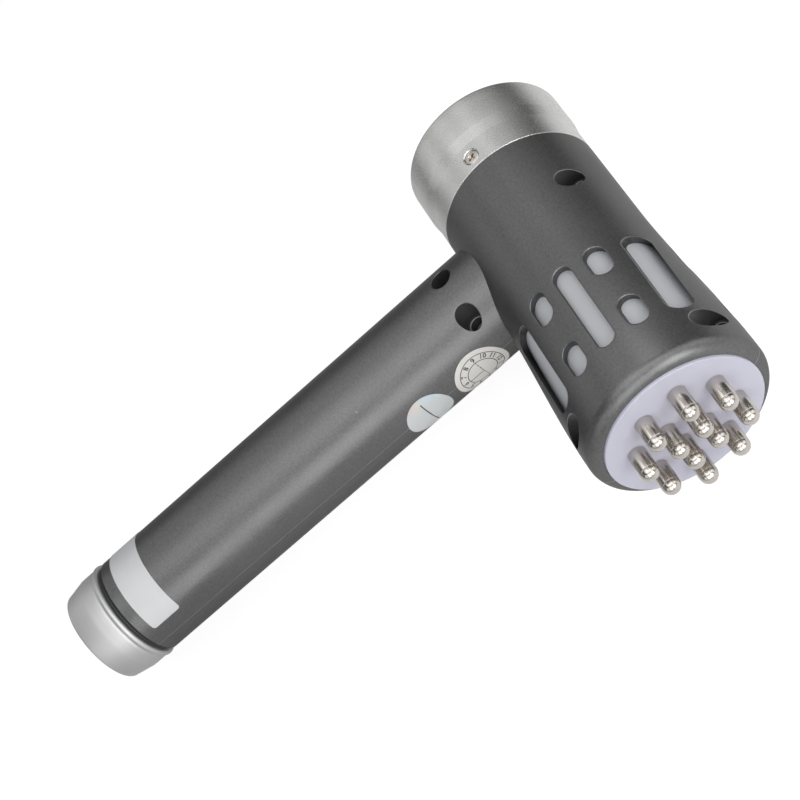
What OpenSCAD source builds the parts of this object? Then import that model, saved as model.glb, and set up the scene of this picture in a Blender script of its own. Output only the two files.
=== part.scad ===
// Hand-held infrared light therapy wand, lying on its side.
// X runs along the barrel from the flat rear face towards the pins.
// The handle leaves the barrel along -Y, and Z stands square to the plane where the casing splits.

/* [Barrel] */
// Radius of the straight part of the barrel
head_r = 28; // [26:0.5:30]
// Radius of the barrel's flared mouth
mouth_r = 31.1; // [29.5:0.1:32]
// Where the flare starts, from the rear face
flare_start = 62; // [60:1:70]
// Where the flare ends, from the rear face
flare_end = 128; // [121:1:129]
// Front edge of the casing, from the rear face
front_x = 135.4; // [134:0.2:137]
// Length of the front edge's rounding
rim_len = 4.8; // [2:0.2:6]
// How far the front edge's rounding turns inwards, in degrees
rim_turn = 70; // [60:5:90]
// Thickness of the casing's wall
wall = 2.6; // [2:0.1:3]

/* [Handle] */
// Place of the handle's axis along the barrel
handle_x = 50; // [49:0.5:52]
// Radius of the handle
handle_r = 18.7; // [18.6:0.1:19.4]
// Handle length, from the barrel's axis
handle_len = 188; // [184:1:192]
// Wall of the handle
handle_wall = 2.4; // [2.2:0.1:2.6]

/* [Windows] */
// Rear end of the light windows, from the rear face
window_x0 = 82.5; // [81.5:0.5:84]
// Front end of the light windows, from the rear face
window_x1 = 118; // [116:0.5:118]
// Length of a short window
short_len = 11.9; // [9:0.5:14]
// Width of a window
window_w = 6.6; // [5:0.2:7.4]
// Distance between the rows of windows
row_pitch = 11.3; // [10.5:0.1:11.5]

/* [Rear cap] */
// Length of the rear cap
cap_len = 28; // [26:0.5:28.5]
// How much wider the cap's rear part is than the barrel, at the radius
cap_swell = 0.6; // [0.2:0.1:1]
// Wall of the cap
cap_wall = 3.1; // [2.6:0.1:3.4]
// Floor of the cap
cap_floor = 3.5; // [2.5:0.1:4]
// Distance of the cap's screws from the rear face
cap_screw_x = 23; // [21:0.2:24]
// Turn of the cap's screws round the barrel, from +Z towards -Y
cap_screw_turn = 3; // [0:1:8]

/* [Front] */
// Width of the casing's rounded rim round the front plate
rim_w = 4.2; // [3:0.1:4.6]
// Thickness of the front plate
plate_t = 4; // [3.4:0.1:4.4]
// How far the plate stands proud of the casing
plate_proud = 1; // [0.2:0.1:1.4]
// Radius of a pin
pin_r = 3.1; // [2.5:0.05:3.4]
// Length of a pin in front of the plate
pin_len = 11; // [8:0.5:16]
// Radius of the outer ring of pins
outer_ring_r = 17; // [16:0.2:18]
// Radius of the inner ring of pins
inner_ring_r = 6.7; // [6.2:0.1:7]
// Turn of the pin pattern
pin_turn = 4; // [0:1:8]

/* [Tail cap] */
// Length of the cap behind the handle's end, with the ring's gap
tail_len = 17; // [15:0.5:19]
// How far the cap's lip stands proud of the handle
lip_proud = 0.6; // [0.2:0.1:0.8]
// How far the cap's round body stands proud of the handle
tail_proud = 0.2; // [0:0.1:0.4]
// How far the edge of the cap's end face lies below the handle's surface
tail_end_inset = 1.1; // [0.8:0.1:2.4]
// Length of the cap's thread inside the collar
thread_len = 12; // [10:0.5:13]

/* [Battery] */
// Radius of the cell
cell_r = 13.1; // [12.6:0.1:13.1]
// Length of the cell
cell_len = 65.5; // [60:0.5:68]

/* [Button] */
// Distance of the thumb button from the barrel's axis
button_s = 70; // [64:1:78]
// Radius of the button
button_r = 6.5; // [5:0.25:6.75]
// How far the button stands proud of the handle
button_proud = 0.6; // [0.3:0.1:1.2]
// Travel of the button
button_travel = 1; // [0.5:0.1:1.2]

/* [Clearances] */
// Gap between fixed pieces that slide together in assembly
fit_gap = 0.1; // [0.05:0.05:0.15]
// Gap between a moving piece and its guide
run_gap = 0.15; // [0.1:0.05:0.2]
// Running gap of the tail cap's thread
thread_gap = 0.1; // [0.06:0.01:0.1]

/* [Hidden] */
$fn = 72;
big = 200;
over = 1;

casing_c = [0.30, 0.31, 0.32];
satin_c = [0.72, 0.72, 0.71];
steel_c = [0.78, 0.76, 0.73];
milky_c = [0.88, 0.88, 0.93];
board_c = [0.10, 0.35, 0.18];
black_c = [0.06, 0.06, 0.06];
brass_c = [0.80, 0.65, 0.30];
red_c = [0.70, 0.10, 0.10];
white_c = [0.92, 0.92, 0.90];
plastic_c = [0.85, 0.84, 0.80];
silver_c = [0.80, 0.80, 0.80];

// Spigot of the casing that carries the rear cap
cap_in_r = head_r - cap_wall;
cap_r = head_r + cap_swell;
spigot_r = cap_in_r - fit_gap;
spigot_wall = 3.1;
spigot_in_r = spigot_r - spigot_wall;
spigot_x = cap_floor + 6.5;
shoulder_t = 3;
cap_band_x = 13.6;
cap_band_len = 4.4;
cap_edge = 1;
cap_chamfer = 0.3;

// Front end: the plate sits in a groove behind the casing's mouth
mouth_in_r = mouth_r - rim_w + fit_gap;
plate_r = mouth_in_r - fit_gap;
rim_round_r = (mouth_r - mouth_in_r) / (1 - cos(rim_turn));
rim_round_l = rim_len / sin(rim_turn);
plate_edge = 0.3;
plate_x1 = front_x + plate_proud;
plate_x0 = plate_x1 - plate_t;
flange_t = 1.6;
flange_r = plate_r + 1.2;
outer_pin_count = 8;
inner_pin_count = 4;
nut_t = 2.4;
nut_af = 5.5;
stud_r = 1.5;
stud_tail = 0.6;

// The emitter board sits in a groove between two ribs
led_len = 4.4;
led_gap = 0.4;
board_t = 1.6;
emitter_x1 = plate_x0 - led_gap - led_len;
emitter_x0 = emitter_x1 - board_t;
emitter_r = plate_r - 3;
rib_t = 2;
rib_w = 1.4;
rib_r = emitter_r - rib_w;
pin_hole_r = stud_r + fit_gap;
inner_lamp_r = inner_ring_r + 2.5;

// The lamp core's flange sits in a groove between two ribs
core_af = 30;
core_bore_r = 10.5;
core_flange_t = 3;
core_flange_r = head_r - wall - 1;
core_x0 = window_x0 - 7.5;
core_gap = 2.2;
core_x1 = emitter_x0 - core_gap;
core_rib_r = core_flange_r - 2 * rib_w - 0.6;
strip_w = 12;
strip_t = 1;
strip_x0 = window_x0 + 1.5;
side_led_w = 3.5;
side_led_t = 1.2;
side_led_count = 3;

// Milky sleeve behind the windows
sleeve_t = 1.6;
sleeve_x0 = core_x0 + core_flange_t + rib_t + fit_gap;
sleeve_x1 = window_x1 + 1.8;
side_cut = mouth_r - head_r + wall + 2 * over;

// Screws that hold the casing halves together: place along X, place along Y, floor of the wide bore
bore_r = 3.8;
neck_bore_r = 2.4;
boss_r = 5;
screw_seat_z = 3;
screw_len = 13;
screw_r = 1.45;
screw_hole_r = screw_r + fit_gap / 2;
screw_head_r = neck_bore_r - fit_gap;
screw_head_t = 1.8;
recess_depth = 1;
front_screw_x = window_x1 + 0.5 + boss_r;
front_screw_y = mouth_r - 5.3;
neck_screw_s = head_r + 5.9;
casing_screw_places = [
    [handle_x + 0.8, head_r - 9.3, 12.5],
    [front_screw_x, front_screw_y, 7],
    [front_screw_x, -front_screw_y, 7],
    [handle_x - 5.3, -neck_screw_s, 9.5],
    [handle_x + 11.4, -neck_screw_s, 8]
];

// Radial screws of the rear cap
cap_screw_count = 3;
cap_screw_head_r = 2.5;
cap_screw_head_t = 0.35;
cap_screw_cone_t = 1.2;
cap_screw_sink = 0.5;
cap_screw_len = 6.6;
cap_recess_r = cap_screw_head_r + 0.15;

// Driver board on the spigot's end, and what stands on it: places are from the barrel's axis
driver_t = 1.6;
driver_r = cap_in_r - 0.6;
driver_x0 = spigot_x - driver_t;
board_screw_count = 4;
board_screw_turn = 45;
board_screw_r = 0.8;
board_screw_hole_r = board_screw_r + fit_gap / 2;
board_screw_ring = spigot_r - spigot_wall / 2;
board_screw_len = 6;
board_screw_hole_len = 7;
board_head_r = 1.5;
board_head_t = 1.2;
coil_at = [11, 4];
coil_r = 6;
coil_hole_r = 2.2;
coil_h = 7;
coil_foot = 1;
capacitor_y = 5;
capacitor_z = [-9, -15];
capacitor_r = 2.8;
capacitor_h = 11;
chip_at = [-14.5, -3.5];
chip_size = [1.6, 8, 7];
block_at = [-5, -5];
block_size = [6, 9, 8];

// Handle's inside, as distances from the barrel's axis towards the tail
handle_in_r = handle_r - handle_wall;
handle_chamfer = 0.8;
ring_gap = 1.3;
ring_wire_r = 0.6;
lip_r = handle_r + lip_proud;
tail_r = handle_r + tail_proud;
tail_end_r = handle_r - tail_end_inset;
tail_face = handle_len + tail_len;
tail_floor = 3.2;
lip_front = handle_len + ring_gap;
spigot_front = lip_front - thread_len - ring_gap;
cell_gap = 0.4;
cell_bore_r = cell_r + cell_gap;
thread_r = cell_bore_r + 1.35;
collar_in_r = thread_r + thread_gap;
collar_out_r = handle_in_r - fit_gap / 2;
collar_front = spigot_front - 3;
collar_flange_r = handle_in_r + 0.8;
collar_flange_s = collar_front + 7;
collar_flange_t = 2;
contact_t = 0.4;
spring_free = 8.6;
spring_gap = 0.3;
cell_back = tail_face - tail_floor - contact_t - spring_free - spring_gap;
cell_front = cell_back - cell_len;
nub_t = 1.2;
nub_r = 3.2;
front_contact_r = 4.2;
sleeve_in_r = cell_bore_r;
sleeve_out_r = handle_in_r - 1.4;
carrier_t = 3;
contact_len = 2;
carrier_back = cell_front - contact_len;
carrier_front = carrier_back - carrier_t;
seat_rib_t = 2;
seat_rib_r = sleeve_out_r + fit_gap;
stop_rib_r = sleeve_out_r - 2.7;
seat_rib_places = [carrier_back, (carrier_back + collar_front) / 2, collar_front - 2 * seat_rib_t];
strip_cu_w = 4;
strip_cu_t = 0.4;
strip_cu_z = sleeve_out_r + 0.3;
lead_r = 1;
lead_step = 1.6;
lead_z = -1;
switch_lead_r = 0.6;
switch_lead_z = 5;

// Thumb button on the back of the handle, pressed along +X
handle_back_x = handle_x - handle_r;
pad_t = 5;
pad_r = button_r + 3;
pad_x = handle_back_x + pad_t;
button_flange_r = button_r + 1.6;
button_flange_t = 1.2;
button_seat_gap = 0.3;
button_back_x = pad_x + button_seat_gap + button_flange_t;
button_top_x = handle_back_x - button_proud;
switch_t = 3.5;
switch_w = 6;
plunger_r = 1.75;
plunger_in = 1.5;
plunger_spare = 0.3;
switch_x0 = button_back_x + button_travel + 0.5;
button_board_x = switch_x0 + switch_t;
button_board_l = 22;
button_board_w = 26;
bracket_w = 4;
bracket_lip = 1.5;
board_slot_gap = 0.05;

// Thin stickers, as distance along the handle and angle round it from +Z towards +X
sticker_t = 0.15;
label_w = 12;
label_gap = 5;
label_s0 = handle_len - label_w - label_gap;
label_a0 = -64;
label_a1 = 68;
dial_s = 43;
dial_a = 97;
dial_r = 10;
seal_s = 65.1;
seal_a = 95;
seal_r = 8.5;

// Groove along the outside of the split
seam_w = 0.24;
seam_d = 0.2;

// Eased step from 0 to 1
function ease(t) = t * t * (3 - 2 * t);
// Radius of the barrel's outside at a place along its axis
function shell_r(x) =
    x <= flare_start ? head_r
    : x >= flare_end ? mouth_r
    : head_r + (mouth_r - head_r) * ease((x - flare_start) / (flare_end - flare_start));
// Outline points of the flare between two places, moved inwards by d
function flare_points(x0, x1, d, n = 12) =
    [for (i = [0 : n]) let (x = x0 + (x1 - x0) * i / n) [shell_r(x) - d, x]];
// Outline points of the front edge's rounding
function rim_points(d, n = 8) =
    [for (i = [0 : n]) let (a = rim_turn * i / n)
        [mouth_r - rim_round_r * (1 - cos(a)) - d, front_x - rim_len + rim_round_l * sin(a)]];

// Turns a piece made along Z to lie along the barrel, with its foot at x
module along_barrel(x = 0) {
    translate([x, 0, 0]) rotate([0, 90, 0]) children();
}

// Turns a piece made along Z to lie along the handle, with its foot at distance s
module along_handle(s = 0) {
    translate([handle_x, -s, 0]) rotate([90, 0, 0]) children();
}

// Copies a piece to evenly spaced places on a ring round the barrel's axis
module on_ring(r, count, start) {
    for (i = [0 : count - 1]) {
        a = start + 360 * i / count;
        translate([0, r * cos(a), r * sin(a)]) children();
    }
}

// Straight ring or disc along the handle
module handle_ring(s0, s1, r_out, r_in) {
    along_handle(s0) difference() {
        cylinder(h = s1 - s0, r = r_out);
        if (r_in > 0) translate([0, 0, -over]) cylinder(h = s1 - s0 + 2 * over, r = r_in);
    }
}

// Outside of the barrel with its spigot, moved inwards by d
module barrel_solid(d = 0) {
    along_barrel() rotate_extrude() polygon(concat(
        [[0, spigot_x], [spigot_r, spigot_x], [spigot_r, cap_len], [head_r - d, cap_len]],
        flare_points(flare_start, flare_end, d),
        rim_points(d),
        [[0, front_x]]
    ));
}

// Outside of the handle, moved inwards by d
module handle_solid(d = 0) {
    along_handle() rotate_extrude() polygon([
        [0, 0], [handle_r - d, 0], [handle_r - d, handle_len - handle_chamfer],
        [handle_r - handle_chamfer, handle_len], [0, handle_len]
    ]);
}

// Hollow of the barrel, with the ribs left standing
module barrel_hollow() {
    core_groove_x1 = core_x0 + core_flange_t + fit_gap / 2;
    board_groove_x0 = emitter_x0 - fit_gap / 2;
    board_groove_x1 = emitter_x1 + fit_gap / 2;
    groove_x1 = plate_x0 + flange_t + fit_gap / 2;
    room_r = head_r - wall;
    back_x = cap_len + shoulder_t;
    along_barrel() rotate_extrude() polygon(concat(
        [
            [0, spigot_x - over], [spigot_in_r, spigot_x - over], [spigot_in_r, back_x], [room_r, back_x],
            [room_r, core_x0 - rib_t], [core_rib_r, core_x0 - rib_t], [core_rib_r, core_x0 - fit_gap / 2],
            [core_flange_r + fit_gap, core_x0 - fit_gap / 2], [core_flange_r + fit_gap, core_groove_x1],
            [core_rib_r, core_groove_x1], [core_rib_r, sleeve_x0 - fit_gap]
        ],
        flare_points(sleeve_x0 - fit_gap, sleeve_x1, wall, 8),
        [
            [rib_r, sleeve_x1], [rib_r, board_groove_x0],
            [emitter_r + fit_gap, board_groove_x0], [emitter_r + fit_gap, board_groove_x1],
            [rib_r, board_groove_x1], [rib_r, board_groove_x1 + rib_t],
            [plate_r - 1, board_groove_x1 + rib_t], [plate_r - 1, plate_x0 - fit_gap / 2],
            [flange_r + fit_gap, plate_x0 - fit_gap / 2], [flange_r + fit_gap, groove_x1],
            [mouth_in_r, groove_x1], [mouth_in_r, front_x + over], [0, front_x + over]
        ]
    ));
}

// Hollow of the handle, with the seats for the cell's sleeve left standing
module handle_hollow() {
    stop_back = carrier_front - fit_gap / 2;
    flange_back = collar_flange_s + collar_flange_t + fit_gap / 2;
    difference() {
        handle_ring(0, handle_len + over, handle_in_r, 0);
        handle_ring(stop_back - seat_rib_t, stop_back, handle_r, stop_rib_r);
        for (s = seat_rib_places) handle_ring(s, s + seat_rib_t, handle_r, seat_rib_r);
    }
    handle_ring(collar_flange_s - fit_gap / 2, flange_back, collar_flange_r + fit_gap, 0);
}

// Flat outline of a window with round ends, along X
module window_shape(x0, x1) {
    translate([x0 + window_w / 2, 0]) circle(d = window_w);
    translate([x1 - window_w / 2, 0]) circle(d = window_w);
    translate([x0 + window_w / 2, -window_w / 2]) square([x1 - x0 - window_w, window_w]);
}

// A rear and a front short window in line
module short_pair() {
    window_shape(window_x0, window_x0 + short_len);
    window_shape(window_x1 - short_len, window_x1);
}

// All windows of one half, cut straight up from the split, and the ones across the split
module window_cuts() {
    linear_extrude(height = 2 * mouth_r) {
        for (row = [-2, 0, 2]) translate([0, row * row_pitch]) window_shape(window_x0, window_x1);
        for (row = [-1, 1]) translate([0, row * row_pitch]) short_pair();
    }
    for (side = [-1, 1]) {
        translate([0, side * (mouth_r + over), 0]) rotate([side * 90, 0, 0])
            linear_extrude(height = side_cut) short_pair();
    }
}

// Bosses that run through both halves for the casing screws
module screw_bosses() {
    for (p = casing_screw_places) translate([p[0], p[1], -mouth_r])
        cylinder(h = 2 * mouth_r, r = boss_r);
}

// Holes for the casing screws: wide bore, head bore and shank hole
module screw_holes() {
    for (p = casing_screw_places) translate([p[0], p[1], 0]) {
        translate([0, 0, p[2]]) cylinder(h = 2 * mouth_r, r = bore_r);
        translate([0, 0, screw_seat_z]) cylinder(h = p[2], r = neck_bore_r);
        translate([0, 0, screw_seat_z - screw_len - fit_gap])
            cylinder(h = screw_len + 2 * over, r = screw_hole_r);
    }
}

// Skin-deep groove round the split
module seam_groove() {
    difference() {
        translate([0, -big, -seam_w / 2]) cube([big, 2 * big, seam_w]);
        barrel_solid(seam_d);
        handle_solid(seam_d);
    }
}

// Flat pad inside the handle round the button's hole
module button_pad() {
    translate([handle_back_x, -button_s, 0]) along_barrel() cylinder(h = pad_t, r = pad_r);
}

// Brackets that hold the button's board by its long edges
module board_brackets() {
    z0 = button_board_w / 2 - bracket_lip;
    translate([button_board_x - bracket_lip, -button_s, 0]) for (down = [0, 1]) for (tail = [0, 1])
        mirror([0, 0, down]) mirror([0, tail, 0]) translate([0, button_board_l / 2 - bracket_w, z0])
            cube([board_t + 2 * bracket_lip, bracket_w, handle_r - z0]);
}

// Everything that both halves share, before the split
module casing_body() {
    difference() {
        union() {
            difference() {
                union() { barrel_solid(); handle_solid(); }
                barrel_hollow();
                handle_hollow();
            }
            intersection() {
                union() {
                    handle_solid();
                    intersection() {
                        barrel_solid();
                        translate([cap_len + over, -big, -big]) cube(2 * big);
                    }
                }
                union() { screw_bosses(); button_pad(); board_brackets(); }
            }
        }
        screw_holes();
        button_hole();
        cap_screw_holes();
        board_screw_holes();
        button_board_room();
        return_strip_room();
        seam_groove();
    }
}

// Hole that guides the thumb button
module button_hole() {
    translate([handle_back_x - over, -button_s, 0]) along_barrel()
        cylinder(h = pad_t + 2 * over, r = button_r + run_gap);
}

// Room for the button's board in its brackets
module button_board_room() {
    translate([button_board_x, -button_s - button_board_l / 2 - over, -button_board_w / 2])
        cube([board_t, button_board_l + 2 * over, button_board_w]);
}

// Room for the return strip under the cell's sleeve
module return_strip_room() {
    length = collar_front - carrier_front + seat_rib_t + over;
    translate([handle_x - strip_cu_w / 2 - fit_gap, -collar_front, -strip_cu_z - strip_cu_t - fit_gap])
        cube([strip_cu_w + 2 * fit_gap, length, strip_cu_t + 2 * fit_gap]);
}

// Holes in the spigot for the cap's screws
module cap_screw_holes() {
    at_cap_screws() cylinder(h = head_r, r = screw_hole_r);
}

// Copies a piece made along Z to the places of the cap's screws
module at_cap_screws() {
    for (i = [0 : cap_screw_count - 1]) rotate([cap_screw_turn + 360 / cap_screw_count * i, 0, 0])
        translate([cap_screw_x, 0, 0]) children();
}

// Holes in the spigot's end for the board's screws
module board_screw_holes() {
    at_board_screws() along_barrel(driver_x0 - over)
        cylinder(h = board_screw_hole_len + over, r = board_screw_hole_r);
}

// Copies a piece to the places of the driver board's screws
module at_board_screws() {
    on_ring(board_screw_ring, board_screw_count, board_screw_turn) children();
}

// Upper half shell of barrel and handle
module casing_upper() {
    color(casing_c) difference() {
        intersection() {
            casing_body();
            translate([0, -big - over, 0]) cube([big, 2 * big, big]);
        }
        window_cuts();
    }
}

// Lower half shell of barrel and handle
module casing_lower() {
    color(casing_c) difference() {
        intersection() {
            casing_body();
            translate([0, -big - over, -big]) cube([big, 2 * big, big]);
        }
        mirror([0, 0, 1]) window_cuts();
    }
}

// Turned aluminium cap at the back of the barrel
module rear_cap() {
    round_n = 6;
    seat_z = head_r - cap_screw_sink - cap_screw_head_t - cap_screw_cone_t - fit_gap;
    color(satin_c) difference() {
        along_barrel() rotate_extrude() polygon(concat(
            [[0, 0]],
            [for (i = [0 : round_n]) let (a = 90 * i / round_n)
                [cap_r - cap_edge + cap_edge * sin(a), cap_edge - cap_edge * cos(a)]],
            [
                [cap_r, cap_band_x], [head_r, cap_band_x + cap_band_len],
                [head_r, cap_len - cap_chamfer], [head_r - cap_chamfer, cap_len],
                [cap_in_r, cap_len], [cap_in_r, cap_floor], [0, cap_floor]
            ]
        ));
        at_cap_screws() rotate_extrude() polygon([
            [0, 0], [screw_hole_r, 0], [screw_hole_r, seat_z], [cap_recess_r, seat_z + cap_screw_cone_t],
            [cap_recess_r, cap_r + over], [0, cap_r + over]
        ]);
    }
}

// Cross recess of a screw head of radius r, cut down from z = 0
module cross_recess(r) {
    arm = 0.6 * r;
    half_w = arm / 5;
    for (a = [0, 90]) rotate([0, 0, a]) translate([-arm, -half_w, -recess_depth])
        cube([2 * arm, 2 * half_w, recess_depth + over]);
}

// Countersunk screws that hold the rear cap on the spigot
module cap_screws() {
    top = head_r - cap_screw_sink;
    cone_top = top - cap_screw_head_t;
    color(steel_c) at_cap_screws() difference() {
        rotate_extrude() polygon([
            [0, top - cap_screw_len], [screw_r, top - cap_screw_len], [screw_r, cone_top - cap_screw_cone_t],
            [cap_screw_head_r, cone_top], [cap_screw_head_r, top], [0, top]
        ]);
        translate([0, 0, top]) rotate([0, 0, 30]) cross_recess(cap_screw_head_r);
    }
}

// Milky front plate with a flange at its back and a hole for each stud
module front_plate() {
    color(milky_c) difference() {
        along_barrel() rotate_extrude() polygon([
            [0, plate_x0], [flange_r, plate_x0], [flange_r, plate_x0 + flange_t],
            [plate_r, plate_x0 + flange_t], [plate_r, plate_x1 - plate_edge],
            [plate_r - plate_edge, plate_x1], [0, plate_x1]
        ]);
        pin_places() along_barrel(plate_x0 - over) cylinder(h = plate_t + 2 * over, r = pin_hole_r);
    }
}

// Places of all twelve pins
module pin_places() {
    outer_places() children();
    inner_places() children();
}

// Places of the eight outer pins
module outer_places() {
    on_ring(outer_ring_r, outer_pin_count, 180 / outer_pin_count + pin_turn) children();
}

// Places of the four inner pins
module inner_places() {
    on_ring(inner_ring_r, inner_pin_count, 180 / inner_pin_count + pin_turn) children();
}

// One pin: domed contact with a threaded stud behind it
module pin() {
    dome_n = 10;
    stud_x = emitter_x0 - stud_tail;
    along_barrel() rotate_extrude() polygon(concat(
        [[0, stud_x], [stud_r, stud_x], [stud_r, plate_x1], [pin_r, plate_x1]],
        [for (i = [0 : dome_n]) let (a = 90 * i / dome_n)
            [pin_r * cos(a), plate_x1 + pin_len - pin_r + pin_r * sin(a)]]
    ));
}

// Eight outer pins
module outer_pins() {
    color(steel_c) outer_places() pin();
}

// Four inner pins
module inner_pins() {
    color(steel_c) inner_places() pin();
}

// Nuts that clamp the pins to the plate
module pin_nuts() {
    color(brass_c) pin_places() along_barrel(plate_x0 - nut_t) difference() {
        cylinder(h = nut_t, d = nut_af / cos(30), $fn = 6);
        translate([0, 0, -over]) cylinder(h = nut_t + 2 * over, r = pin_hole_r);
    }
}

// Milky sleeve behind the windows, following the flare
module diffuser_sleeve() {
    color(milky_c) difference() {
        along_barrel() rotate_extrude() polygon(concat(
            flare_points(sleeve_x0, sleeve_x1, wall + fit_gap, 8),
            [[shell_r(sleeve_x1) - wall - fit_gap - sleeve_t, sleeve_x1],
             [shell_r(sleeve_x0) - wall - fit_gap - sleeve_t, sleeve_x0]]
        ));
        for (side = [-1, 1]) translate([front_screw_x, side * front_screw_y, -mouth_r])
            cylinder(h = 2 * mouth_r, r = boss_r + fit_gap);
    }
}

// Round board that carries the infrared lamps and takes the studs
module emitter_board() {
    flat_y = front_screw_y - boss_r - 2 * fit_gap;
    color(board_c) difference() {
        intersection() {
            along_barrel(emitter_x0) cylinder(h = board_t, r = emitter_r);
            translate([emitter_x0 - over, -flat_y, -mouth_r])
                cube([board_t + 2 * over, 2 * flat_y, 2 * mouth_r]);
        }
        pin_places() along_barrel(emitter_x0 - over) cylinder(h = board_t + 2 * over, r = pin_hole_r);
    }
}

// Infrared lamps between the pins
module infrared_leds() {
    color([0.75, 0.78, 0.85]) {
        on_ring(outer_ring_r, outer_pin_count, pin_turn) led_dome();
        on_ring(inner_lamp_r, inner_pin_count, pin_turn) led_dome();
        led_dome();
    }
}

// One lamp with a flange and a domed lens, standing on the emitter board
module led_dome() {
    lens_r = 2.2;
    foot_r = 2.5;
    foot_t = 0.8;
    dome_n = 8;
    along_barrel(emitter_x1) rotate_extrude() polygon(concat(
        [[0, 0], [foot_r, 0], [foot_r, foot_t], [lens_r, foot_t]],
        [for (i = [0 : dome_n]) let (a = 90 * i / dome_n)
            [lens_r * cos(a), led_len - lens_r + lens_r * sin(a)]]
    ));
}

// Six-sided aluminium core that carries the side lamps
module lamp_core() {
    color(satin_c) difference() {
        union() {
            along_barrel(core_x0) cylinder(h = core_flange_t, r = core_flange_r);
            along_barrel(core_x0) rotate([0, 0, 30])
                cylinder(h = core_x1 - core_x0, d = core_af / cos(30), $fn = 6);
        }
        along_barrel(core_x0 - over) cylinder(h = core_x1 - core_x0 + 2 * over, r = core_bore_r);
    }
}

// Copies a piece made on top of the core to its six faces
module on_core_faces() {
    for (i = [0 : 5]) rotate([60 * i, 0, 0]) translate([0, 0, core_af / 2]) children();
}

// Narrow boards on the core's faces
module side_strips() {
    color(white_c) on_core_faces()
        translate([strip_x0, -strip_w / 2, 0]) cube([window_x1 - strip_x0, strip_w, strip_t]);
}

// Side lamps, three on each narrow board
module side_leds() {
    step = (window_x1 - strip_x0) / side_led_count;
    color([0.95, 0.85, 0.4]) on_core_faces() for (k = [0 : side_led_count - 1])
        translate([strip_x0 + step * (k + 0.5) - side_led_w / 2, -side_led_w / 2, strip_t])
            cube([side_led_w, side_led_w, side_led_t]);
}

// Round driver board on the spigot's end
module driver_board() {
    color(board_c) difference() {
        along_barrel(driver_x0) cylinder(h = driver_t, r = driver_r);
        at_board_screws() along_barrel(driver_x0 - over)
            cylinder(h = driver_t + 2 * over, r = board_screw_hole_r);
    }
}

// Places a piece on the driver board at a place across the barrel
module on_driver_board(at) {
    translate([driver_x0 + driver_t, at[0], at[1]]) children();
}

// Parts soldered to the driver board: coil, two capacitors, chip and lead block
module driver_parts() {
    color(black_c) {
        on_driver_board(coil_at) along_barrel() difference() {
            cylinder(h = coil_h, r = coil_r);
            translate([0, 0, coil_foot]) cylinder(h = coil_h, r = coil_hole_r);
        }
        on_driver_board(chip_at) cube(chip_size);
    }
    color([0.2, 0.25, 0.5]) for (z = capacitor_z)
        on_driver_board([capacitor_y, z]) along_barrel() cylinder(h = capacitor_h, r = capacitor_r);
    color(white_c) on_driver_board(block_at) cube(block_size);
}

// Small screws of the driver board
module board_screws() {
    color(steel_c) at_board_screws() {
        along_barrel(driver_x0) cylinder(h = board_screw_len, r = board_screw_r);
        along_barrel(driver_x0 - board_head_t) cylinder(h = board_head_t, r = board_head_r);
    }
}

// Screws that pull the casing halves together
module casing_screws() {
    color(steel_c) for (p = casing_screw_places) translate([p[0], p[1], screw_seat_z]) difference() {
        union() {
            translate([0, 0, -screw_len + fit_gap]) cylinder(h = screw_len - fit_gap, r = screw_r);
            cylinder(h = screw_head_t, r = screw_head_r);
        }
        translate([0, 0, screw_head_t]) cross_recess(screw_head_r);
    }
}

// Round cell with its raised contact towards the barrel
module battery() {
    color([0.25, 0.45, 0.30]) {
        handle_ring(cell_front + nub_t, cell_back, cell_r, 0);
        handle_ring(cell_front, cell_front + nub_t, nub_r, 0);
    }
}

// Plastic sleeve round the cell
module battery_sleeve() {
    color(plastic_c) handle_ring(carrier_back, collar_front, sleeve_out_r, sleeve_in_r);
}

// Disc that closes the sleeve and carries the front contact
module contact_carrier() {
    color(black_c) handle_ring(carrier_front, carrier_back, sleeve_out_r, 0);
}

// Contact that the cell's raised end presses on
module front_contact() {
    color(brass_c) handle_ring(carrier_back, cell_front, front_contact_r, 0);
}

// Flat strip that brings the current back from the collar
module return_strip() {
    color(brass_c) translate([handle_x - strip_cu_w / 2, -collar_front, -strip_cu_z - strip_cu_t])
        cube([strip_cu_w, collar_front - carrier_front, strip_cu_t]);
}

// Threaded aluminium collar held between the halves
module thread_collar() {
    color(satin_c) {
        difference() {
            union() {
                handle_ring(collar_front, handle_len - handle_chamfer, collar_out_r, 0);
                handle_ring(collar_flange_s, collar_flange_s + collar_flange_t, collar_flange_r, 0);
            }
            along_handle(collar_front - over) cylinder(h = handle_len, r = collar_in_r);
        }
    }
}

// Turned aluminium cap that screws into the collar and closes the battery space
module tail_cap() {
    lip_w = 2.2;
    step_w = 1;
    straight_w = 4.6;
    end_round = 1;
    lip_n = 8;
    end_n = 4;
    band_s = lip_front + lip_w + step_w;
    taper_s = band_s + straight_w;
    color(satin_c) along_handle() rotate_extrude() polygon(concat(
        [[thread_r, spigot_front], [thread_r, lip_front], [lip_r - lip_w / 2, lip_front]],
        [for (i = [1 : lip_n]) let (a = 180 * i / lip_n)
            [lip_r - lip_w / 2 + lip_w / 2 * sin(a), lip_front + lip_w / 2 - lip_w / 2 * cos(a)]],
        [[tail_r, band_s], [tail_r, taper_s]],
        [for (i = [0 : end_n]) let (a = 90 * i / end_n)
            [tail_end_r - end_round + end_round * cos(a), tail_face - end_round + end_round * sin(a)]],
        [[0, tail_face], [0, tail_face - tail_floor], [cell_bore_r, tail_face - tail_floor],
         [cell_bore_r, spigot_front]]
    ));
}

// Black sealing ring between the handle's end and the cap's lip
module tail_ring() {
    color(black_c) along_handle(handle_len + ring_gap / 2)
        rotate_extrude() translate([handle_r - handle_chamfer - ring_wire_r, 0])
            circle(r = ring_wire_r, $fn = 24);
}

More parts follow.
